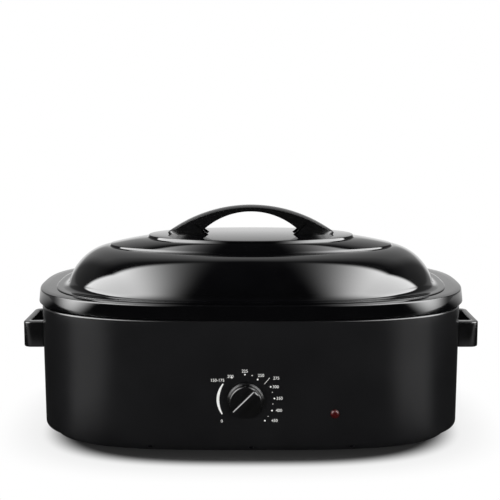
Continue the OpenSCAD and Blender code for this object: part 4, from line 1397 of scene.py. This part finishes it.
@dataclass
class Dial:
    """The thermostat's knob, and the marks printed round it.

    The marks, the numbers and the leader keep their places in the print's layout, which is spread
    from its middle to the print's real width and height.
    """

    body: BodyShell
    x: float = -6.0
    z: float = 69.5
    radius: float = 21.5
    depth: float = 19.2
    pole: float = 0.4
    skirt: float = 6.0
    skirt_edges: tuple[float, float, float] = (0.5, 1.2, 0.8)
    ledge: float = 1.5
    cap_in: float = 3.0
    cap_edge: float = 1.6
    ridge: Spot = (9.0, 7.0)
    ridge_edge: float = 2.2
    bite: float = 2.0
    turned: float = 225.0
    lift: float = 0.06
    digit: float = 5.0
    band_turns: Spot = (238.0, 306.0)
    band_wide: Spot = (0.7, 1.6)
    band_r: float = 32.6
    mark_points: int = 20
    layout_middle: Spot = (-1.0, 4.1)
    layout_scale: Spot = (1.08, 1.1)
    leader_ends: tuple[Spot, Spot] = ((20.0, 17.6), (25.8, 24.4))
    marks: tuple[tuple[float, float, float], ...] = (
        (-31.5, 29.0, 1.08), (-2.0, 28.0, 0.96), (14.0, 27.8, 0.6), (29.5, 26.0, 1.08),
        (61.4, 30.6, 0.96), (73.4, 30.0, 0.5), (86.7, 31.0, 0.96), (98.2, 29.6, 0.5),
        (112.0, 30.6, 0.96), (126.3, 30.0, 0.5), (137.7, 30.6, 0.96))
    labels: tuple[tuple[str, float, float], ...] = (
        ("150-175", -30.7, 21.6), ("200", -16.6, 25.9), ("225", -1.1, 31.6), ("250", 16.4, 26.9),
        ("275", 32.9, 23.9), ("300", 32.3, 14.5), ("350", 36.5, 1.8), ("400", 35.9, -11.4),
        ("450", 31.2, -22.6), ("0", -26.2, -23.3))

    def knob(self) -> Obj:
        """Builds the knob: a turned skirt and cap, with a grip ridge across its face.

        Returns:
            The knob, turned to off.
        """
        face = low("control_knob").y
        back = face + self.depth
        rim = back - self.skirt
        wide, tall = self.ridge
        cap, cap_r = face + tall, self.radius - self.cap_in
        foot_edge, rim_edge, ledge_edge = self.skirt_edges
        turned = lathe("knob", [(back, self.pole, 0), (back, self.radius, foot_edge),
                                (rim, self.radius, rim_edge), (rim, self.radius - self.ledge, ledge_edge),
                                (cap, cap_r, self.cap_edge), (cap, self.pole, 0)], "Y", (0, 0, 0))
        grip = block((0, (face + cap) / 2 + self.bite / 2, 0), (wide, cap - face + self.bite, 2 * cap_r))
        bevelled(grip, self.ridge_edge, 4)
        cut(turned, [grip], "UNION")
        for vertex in turned.data.vertices:
            vertex.co.y = max(vertex.co.y, face * MM)
        turned.rotation_euler = (0.0, math.radians(self.turned), 0.0)
        turned.location = Vector((self.x, 0, self.z)) * MM
        return fitted(smoothed(settled(turned)), PHENOLIC, "knob", "phenolic", "control_knob")

    def laid(self, obj: Obj) -> Obj:
        """Lays a flat mark, drawn about the dial's centre, on the body's front."""
        for vertex in obj.data.vertices:
            x, z = self.x + vertex.co.x / MM, self.z + vertex.co.y / MM
            vertex.co = Vector((x, self.body.front(x, z) - self.lift, z)) * MM
        return obj

    def spread(self, x: float, z: float) -> Spot:
        """Gives the place on the dial of a place in the layout."""
        (middle_x, middle_z), (wide, tall) = self.layout_middle, self.layout_scale
        return middle_x + wide * (x - middle_x), middle_z + tall * (z - middle_z)

    def written(self, text: str, x: float, z: float) -> Obj:
        """Writes a temperature, centred on a place of the layout."""
        obj = added("digits", bpy.ops.object.text_add)
        obj.data.body = text
        obj.data.size = self.digit * MM
        obj.data.align_x = "CENTER"
        obj.data.align_y = "CENTER"
        obj.location = Vector((*self.spread(x, z), 0)) * MM
        hold(obj)
        bpy.ops.object.convert(target="MESH")
        return settled(obj)

    def band(self, steps: int = 32) -> Obj:
        """Draws the keep-warm band: a crescent at the dial's left."""
        obj = added("band", bpy.ops.mesh.primitive_grid_add, x_subdivisions=steps, y_subdivisions=1,
                    size=2.0)
        for vertex in obj.data.vertices:
            turn = math.radians(mix(*self.band_turns, (vertex.co.x + 1) / 2))
            wide = mix(*self.band_wide, math.cos(vertex.co.x * math.pi / 2))
            out = self.band_r + math.copysign(wide, vertex.co.y)
            vertex.co = Vector((out * math.sin(turn), out * math.cos(turn), 0)) * MM
        return obj

    def spot(self, turn: float, out: float, size: float) -> Obj:
        """Draws a round mark at the layout's clock angle, in degrees, and distance from the centre."""
        around = math.radians(turn)
        place = Vector((*self.spread(out * math.sin(around), out * math.cos(around)), 0)) * MM
        return settled(added("mark", bpy.ops.mesh.primitive_circle_add, vertices=self.mark_points,
                             radius=size * MM, fill_type="NGON", location=place))

    def leader(self, start: Spot, end: Spot, width: float = 0.5) -> Obj:
        """Draws a straight line between two places of the layout."""
        start, end = self.spread(*start), self.spread(*end)
        long, tall = end[0] - start[0], end[1] - start[1]
        obj = added("leader", bpy.ops.mesh.primitive_plane_add, size=1.0)
        obj.scale = (math.hypot(long, tall) * MM, width * MM, 1)
        obj.rotation_euler = (0, 0, math.atan2(tall, long))
        obj.location = Vector(((start[0] + end[0]) / 2, (start[1] + end[1]) / 2, 0)) * MM
        return settled(obj)

    def print(self) -> Obj:
        """Builds the printed marks and numbers.

        Returns:
            One piece that holds them all.
        """
        parts = [self.band(), self.leader(*self.leader_ends)]
        parts += [self.spot(*mark) for mark in self.marks]
        parts += [self.written(*label) for label in self.labels]
        for part in parts:
            self.laid(part)
        return fitted(joined("dial_print", parts), PRINT, "base", "")


@dataclass
class Indicator:
    """The signal lamp's lens: a red button with a stepped, slightly domed face."""

    radius: float = 5.2
    bore: float = 2.6
    stem_in: float = 1.1
    flange: float = 1.6
    rise: float = 1.6
    foot_in: float = 0.8
    face_in: float = 2.0
    dome: float = 0.25
    soft: float = 0.2
    edge: float = 0.5
    pole: float = 0.3

    def build(self) -> Obj:
        """Builds the lens.

        Returns:
            The finished piece.
        """
        box = low("indicator_lens"), high("indicator_lens")
        centre = ((box[0].x + box[1].x) / 2, 0, (box[0].z + box[1].z) / 2)
        face, back = box[0].y, box[1].y
        step, stem = face + self.rise, self.radius - self.stem_in
        seat = step + self.flange
        profile = [(back, self.bore, self.soft), (back, stem, self.soft), (seat, stem, 0),
                   (seat, self.radius, self.soft), (step, self.radius, self.edge),
                   (step, self.radius - self.foot_in, self.soft),
                   (face + self.dome, self.radius - self.face_in, self.edge), (face, self.pole, 0)]
        obj = lathe("lamp_lens", profile, "Y", centre)
        return fitted(obj, LENS_RED, "base", "lens_red", "indicator_lens")


@dataclass
class CordGland:
    """The strain relief at the back: a collar and a ribbed, tapered sleeve."""

    stem: float = 6.8
    bore: float = 4.2
    length: float = 16.0
    seat: float = 0.3
    collar: float = 9.8
    collar_t: float = 4.0
    collar_in: float = 1.2
    first_rib: float = 5.5
    last_rib: float = 0.8
    ribs: int = 4
    rib_in: float = 1.3
    rib_over: float = 0.1
    groove: float = 0.7
    rib_fall: float = 0.2
    rib_shares: tuple[float, float, float] = (0.25, 0.35, 0.9)
    mouth_in: float = 0.6
    soft: float = 0.2
    small: float = 0.3
    edge: float = 0.4
    mouth_edge: float = 0.5

    def build(self) -> Obj:
        """Builds the gland.

        Returns:
            The finished piece.
        """
        box = low("cord_gland"), high("cord_gland")
        centre = ((box[0].x + box[1].x) / 2, 0, (box[0].z + box[1].z) / 2)
        out = box[1].y
        seat = out - self.length + self.seat
        top = seat + self.collar_t
        profile = [(box[0].y, self.bore, 0), (box[0].y, self.stem, self.edge), (seat, self.stem, 0),
                   (seat, self.collar, self.small), (top, self.collar, self.collar_in),
                   (top, self.collar - self.collar_in, self.edge)]
        start, end = out - self.length + self.first_rib, out - self.last_rib
        pitch = (end - start) / self.ribs
        rise, crest, fall = (pitch * share for share in self.rib_shares)
        for i in range(self.ribs):
            z = mix(start, end, i / self.ribs)
            r = mix(self.collar - self.rib_in, self.stem + self.rib_over, i / self.ribs)
            profile += [(z, r - self.groove, self.soft), (z + rise, r - self.groove, self.small),
                        (z + crest, r, self.small), (z + fall, r - self.rib_fall, self.small)]
        profile += [(out, self.stem - self.mouth_in, self.mouth_edge), (out, self.bore, self.edge)]
        obj = lathe("strain_relief", profile, "Y", centre, closed=False)
        return fitted(obj, NYLON, "base", "gland_nylon", "cord_gland")


# ---------------------------------------------------------------- inner pieces


@dataclass
class InnerParts:
    """The pieces inside the body and under it, which keep their own shapes."""

    finishes: dict[Finish, tuple[str, ...]] = field(default_factory=lambda: {
        BAND_STEEL: ("heating_band",),
        GLASS_FIBRE: ("insulation_blanket",),
        ALUMINISED: ("heat_shield", "base_brackets"),
        ALUMINIUM: ("shield_posts",),
        BLACKENED: ("base_screws",),
        ZINC: ("shield_screws", "foot_screws", "side_handle_screws",
               "side_handle_washers", "thermostat_plate", "thermostat_screws", "thermostat_shaft",
               "knob_spring_clip", "lamp_push_nut", "lid_handle_screws", "lid_handle_washers",
               "earth_screw", "terminal_screws"),
        STEATITE: ("thermostat_body", "terminal_block", "thermal_fuse"),
        BRASS: ("band_terminals",),
        LAMP_GLASS: ("indicator_lamp",),
        NYLON: ("gland_nut",),
        BLACK_SLEEVE: ("live_wire", "load_wire"),
        RED_SLEEVE: ("lamp_wire",),
        WHITE_SLEEVE: ("neutral_wire",),
        GREEN_SLEEVE: ("earth_wire",),
    })

    def dress(self, nodes: dict[str, Obj]) -> list[str]:
        """Gives each piece its material.

        Args:
            nodes: the frame's pieces by name.

        Returns:
            The names of the pieces that were dressed.
        """
        done = []
        for finish, names in self.finishes.items():
            for name in names:
                obj = nodes[name]
                obj.data.materials.clear()
                obj.data.materials.append(finish.material())
                done.append(name)
        return done


# ---------------------------------------------------------------- studio


@dataclass(frozen=True)
class Lamp:
    """A square soft lamp: its place and side in metres, and how bright its face is."""

    place: tuple[float, float, float]
    size: float
    glow: float


@dataclass
class Studio:
    """A white studio with a white floor that darkens round the roaster in a painted shadow, a panel at
    each side in front, and a low white wall behind.

    The panels and the wall are parts of the world that only mirrored rays see. Directions are
    counted from the origin: x to the right, y away from the camera and z up, each from -1 to 1.
    Places and sizes are in metres here.
    """

    camera_at: tuple[float, float, float] = (0.0, -1.417, 0.425)
    camera_tilt: float = 81.85
    lens: float = 78.9
    sensor: float = 36.0
    nearest: float = 0.05
    shift: float = -0.0018
    aim: tuple[float, float, float] = (0.0, 0.0, 0.1)
    fill: float = 0.1
    lamps: tuple[Lamp, ...] = (Lamp((-0.9, -1.6, 0.35), 0.5, 14.0), Lamp((0.9, -1.6, 0.35), 0.5, 14.0),
                               Lamp((0.0, 0.25, 2.2), 0.6, 45.0))
    panel_glow: float = 12.0
    panel_x: tuple[float, float] = (0.10, 0.56)
    panel_lean: float = 0.1
    panel_fall: float = 1.3
    panel_foot: tuple[float, float] = (0.09, 0.31)
    foot_drop: tuple[float, float] = (0.74, 1.1)
    low_z: tuple[float, float] = (0.2, 0.45)
    low_y: tuple[float, float] = (-0.35, 0.25)
    low_share: float = 0.1
    edge_y: tuple[float, float, float] = (0.68, 0.75, 0.26)
    edge_soft: float = 0.05
    wall_glow: float = 1.1
    wall: tuple[tuple[float, float], ...] = ((0.0, 1.0), (0.1, 1.0), (0.16, 0.7), (0.2, 0.5),
                                             (0.6, 0.42), (0.7, 0.22), (0.76, 0.04), (1.0, 0.02))
    wall_x: tuple[float, float] = (0.36, 0.54)
    wall_side: float = 0.35
    dark: float = 0.02
    floor_r: float = 3.0
    # Grey of the floor round the roaster: a painted contact shadow, which also takes the lamps' real
    # shadow
    painted_shadow_grey: float = 0.12
    # What mirrored rays see of the floor: a painted glow, dark just in front, brighter to each side in
    # front, and white far behind
    floor_white: tuple[float, float] = (0.5, 1.2)
    far_white: float = 0.9
    floor_centre: tuple[float, float] = (0.12, 0.1)
    floor_from: tuple[float, float] = (0.58, 0.88)
    floor_to: tuple[float, float] = (1.12, 1.5)
    floor_near: tuple[float, float] = (0.05, 0.3)
    floor_glow: float = 0.55
    # The outline round which the painted contact shadow fades out to white, and how it fades
    foot: Plan = Plan(0.251, 0.197, 3.0)
    painted_shadow_fade: tuple[float, float] = (0.92, 1.08)
    painted_shadow_tail: tuple[float, float] = (1.0, 1.35)
    painted_shadow_tail_share: float = 0.14

    def camera(self) -> None:
        """Sets the camera at the photo's angle."""
        bpy.ops.object.camera_add(location=self.camera_at,
                                  rotation=(math.radians(self.camera_tilt), 0.0, 0.0))
        seen = bpy.context.active_object
        seen.data.lens = self.lens
        seen.data.sensor_width = self.sensor
        seen.data.shift_x = self.shift
        seen.data.clip_start = self.nearest
        bpy.context.scene.camera = seen

    def lights(self) -> None:
        """Hangs the lamps for the diffuse light and the soft shadows. No surface mirrors them."""
        target = Vector(self.aim)
        for lamp in self.lamps:
            place = Vector(lamp.place)
            bpy.ops.object.light_add(type="AREA", location=place)
            made = bpy.context.active_object
            made.rotation_euler = (target - place).to_track_quat("-Z", "Y").to_euler()
            made.data.size = lamp.size
            made.data.energy = math.pi * lamp.glow * lamp.size ** 2
            made.visible_glossy = False

    def panels(self, tree: bpy.types.NodeTree, way: bpy.types.Node,
               out: bpy.types.NodeSocket) -> bpy.types.NodeSocket:
        """Builds the two panels in front.

        Args:
            tree: the world's tree.
            way: the ray's direction, by its parts.
            out: how far the ray goes sideways.

        Returns:
            Their brightness.
        """
        leant = counted(tree, "MULTIPLY_ADD", way.outputs["Y"], self.panel_lean, out)
        panel = counted(tree, "POWER", eased(tree, leant, *self.panel_x), self.panel_fall)
        past_corner = counted(tree, "MAXIMUM", counted(tree, "SUBTRACT", out, self.foot_drop[0]), 0.0)
        height = counted(tree, "MULTIPLY_ADD", past_corner, self.foot_drop[1], way.outputs["Z"])
        panel = counted(tree, "MULTIPLY", panel, eased(tree, height, *self.panel_foot))
        behind = counted(tree, "MAXIMUM", eased(tree, way.outputs["Z"], *self.low_z),
                         eased(tree, way.outputs["Y"], *self.low_y, 1.0, self.low_share))
        panel = counted(tree, "MULTIPLY", panel, behind)
        return counted(tree, "MULTIPLY_ADD", panel, self.panel_glow, self.dark)

    def back_wall(self, tree: bpy.types.NodeTree, way: bpy.types.Node,
                  out: bpy.types.NodeSocket) -> bpy.types.NodeSocket:
        """Builds the wall behind, which darkens upwards and to its sides.

        Args:
            tree: the world's tree.
            way: the ray's direction, by its parts.
            out: how far the ray goes sideways.

        Returns:
            Its brightness.
        """
        ramp = add(tree, "ShaderNodeValToRGB", {"Fac": way.outputs["Z"]})
        stops = ramp.color_ramp.elements
        for i, (at, grey) in enumerate(self.wall):
            stop = stops[i] if i < 2 else stops.new(at)
            stop.position = at
            stop.color = (grey, grey, grey, 1.0)
        return counted(tree, "MULTIPLY", ramp.outputs["Color"],
                       eased(tree, out, *self.wall_x, self.wall_glow, self.wall_side))

    def mirrored(self, tree: bpy.types.NodeTree) -> bpy.types.NodeSocket:
        """Builds what a mirrored ray meets, by its direction.

        Args:
            tree: the world's tree.

        Returns:
            The brightness.
        """
        place = add(tree, "ShaderNodeTexCoord").outputs["Generated"]
        way = add(tree, "ShaderNodeSeparateXYZ", {0: place})
        out = counted(tree, "ABSOLUTE", way.outputs["X"])
        start, slope, least = self.edge_y
        edge = counted(tree, "MAXIMUM", counted(tree, "MULTIPLY_ADD", out, -slope, start), least)
        past = eased(tree, counted(tree, "SUBTRACT", way.outputs["Y"], edge),
                     -self.edge_soft, self.edge_soft)
        return add(tree, "ShaderNodeMix", {0: past, 2: self.panels(tree, way, out),
                                           3: self.back_wall(tree, way, out)}).outputs[0]

    def world(self) -> None:
        """Lights the room: white to the camera, and panels and a wall to all that mirrors it."""
        room = bpy.data.worlds.new("studio")
        bpy.context.scene.world = room
        room.use_nodes = True
        tree = room.node_tree
        tree.nodes.clear()
        path = add(tree, "ShaderNodeLightPath")
        seen = counted(tree, "MAXIMUM", path.outputs["Is Camera Ray"],
                       path.outputs["Is Transmission Ray"])
        soft = add(tree, "ShaderNodeMix", {0: path.outputs["Is Glossy Ray"], 2: self.fill,
                                           3: self.mirrored(tree)})
        glow = add(tree, "ShaderNodeMix", {0: seen, 2: soft.outputs[0], 3: 1.0})
        shade = add(tree, "ShaderNodeBackground", {"Color": (1, 1, 1, 1), "Strength": glow.outputs[0]})
        add(tree, "ShaderNodeOutputWorld", {"Surface": shade.outputs[0]})

    def floor(self) -> None:
        """Lays the floor: dark grey round the roaster, a painted contact shadow over the lamps' real
        shadow, that fades to white further out; mirrored rays see a painted glow on it.
        """
        ground = added("studio_floor", bpy.ops.mesh.primitive_circle_add, vertices=128,
                       radius=self.floor_r, fill_type="NGON")
        made = bpy.data.materials.new("studio floor")
        made.use_nodes = True
        tree = made.node_tree
        tree.nodes.clear()
        path = add(tree, "ShaderNodeLightPath")
        place = add(tree, "ShaderNodeTexCoord").outputs["Object"]
        parts = add(tree, "ShaderNodeSeparateXYZ", {0: place})
        x = counted(tree, "ABSOLUTE", parts.outputs["X"])
        powers = [counted(tree, "POWER", counted(tree, "DIVIDE", value, half), self.foot.power)
                  for value, half in ((x, self.foot.half_w),
                                      (counted(tree, "ABSOLUTE", parts.outputs["Y"]), self.foot.half_d))]
        away = counted(tree, "POWER", counted(tree, "ADD", *powers), 1 / self.foot.power)
        near = eased(tree, away, *self.painted_shadow_fade, 0.0, 1 - self.painted_shadow_tail_share)
        share = counted(tree, "ADD", near, eased(tree, away, *self.painted_shadow_tail, 0.0, self.painted_shadow_tail_share))
        # Near the roaster the floor is diffuse and painted dark grey, a painted contact shadow over the
        # lamps' real shadow; further out it is a white glow
        soft = add(tree, "ShaderNodeBsdfDiffuse", {"Color": (*[self.painted_shadow_grey] * 3, 1)})
        white = add(tree, "ShaderNodeEmission", {"Color": (1, 1, 1, 1), "Strength": 1.0})
        shadow = add(tree, "ShaderNodeMixShader", {0: share, 1: soft.outputs[0], 2: white.outputs[0]})
        # Mirrored rays see a painted glow here instead of the floor: brighter to each side in front, dark
        # in front and white far behind, which the body's sides mirror
        beside = counted(tree, "SUBTRACT", x, self.floor_centre[0])
        before = counted(tree, "MULTIPLY_ADD", parts.outputs["Y"], -1.0, -self.floor_centre[1])
        turn = counted(tree, "ARCTAN2", beside, before)
        side = counted(tree, "MULTIPLY", eased(tree, turn, *self.floor_from, 0.0, self.floor_glow),
                       eased(tree, turn, *self.floor_to, 1.0, 0.0))
        side = counted(tree, "MULTIPLY", side, eased(tree, beside, *self.floor_near))
        glow = counted(tree, "ADD", side, eased(tree, parts.outputs["Y"], *self.floor_white,
                                                self.dark, self.far_white))
        mirrored = add(tree, "ShaderNodeEmission", {"Color": (1, 1, 1, 1), "Strength": glow})
        last = add(tree, "ShaderNodeMixShader", {0: path.outputs["Is Glossy Ray"],
                                                 1: shadow.outputs[0], 2: mirrored.outputs[0]})
        add(tree, "ShaderNodeOutputMaterial", {"Surface": last.outputs[0]})
        ground.data.materials.append(made)

    def build(self) -> None:
        """Sets the whole studio."""
        self.camera()
        self.lights()
        self.world()
        self.floor()
        bpy.context.scene.view_settings.view_transform = "Standard"


# ---------------------------------------------------------------- the whole


@dataclass
class BodyHoles:
    """The cutters for all that passes through the body wrap."""

    body: BodyShell
    dial: Dial
    bushing: float = 4.8
    plate_screw: float = 1.75
    plate_screw_x: float = 13.5
    lens: float = 4.3
    gland: float = 7.0
    handle_screw: float = 2.25
    handle_screw_in: float = 4.0
    depth: float = 14.0
    handle_depth: float = 10.0

    def build(self) -> list[Obj]:
        """Makes the cutters.

        Returns:
            The cutters.
        """
        body, dial = self.body, self.dial
        front = body.front(dial.x, dial.z)
        cutters = [rod((dial.x, front, dial.z), "Y", self.bushing, self.depth)]
        cutters += [rod((dial.x + side * self.plate_screw_x, front, dial.z), "Y", self.plate_screw,
                        self.depth) for side in (-1, 1)]
        for node, radius in (("indicator_lens", self.lens), ("cord_gland", self.gland)):
            lo, hi = low(node), high(node)
            x, z = (lo.x + hi.x) / 2, (lo.z + hi.z) / 2
            y = body.face(z).depth_at(x) * (-1 if hi.y < 0 else 1)
            cutters.append(rod((x, y, z), "Y", radius, self.depth))
        z = (low("left_side_handle").z + high("left_side_handle").z) / 2
        y = high("side_handle_screws").y - self.handle_screw_in
        cutters += [rod((sx * body.plan.width_at(y), sy * y, z), "X", self.handle_screw,
                        self.handle_depth) for sx in (-1, 1) for sy in (-1, 1)]
        return cutters


def main() -> None:
    logging.basicConfig(level=logging.INFO, format="%(message)s")
    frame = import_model()
    body = BodyShell()
    dial = Dial(body)
    pan = RoastingPan()
    body.build(BodyHoles(body, dial).build())
    BasePan(body).build()
    RubberFeet().build()
    pan.build()
    HeatedWell(pan).build()
    Rack().build()
    Lid(pan).build()
    LidHandle().build(high("lid_shell").z)
    for side in (-1, 1):
        SideHandle(body).build(side)
    dial.knob()
    dial.print()
    Indicator().build()
    CordGland().build()
    dressed = InnerParts().dress(frame["nodes"])
    LOG.info("%d pieces keep their own shape", len(dressed))
    Studio().build()


if __name__ == "__main__":
    main()
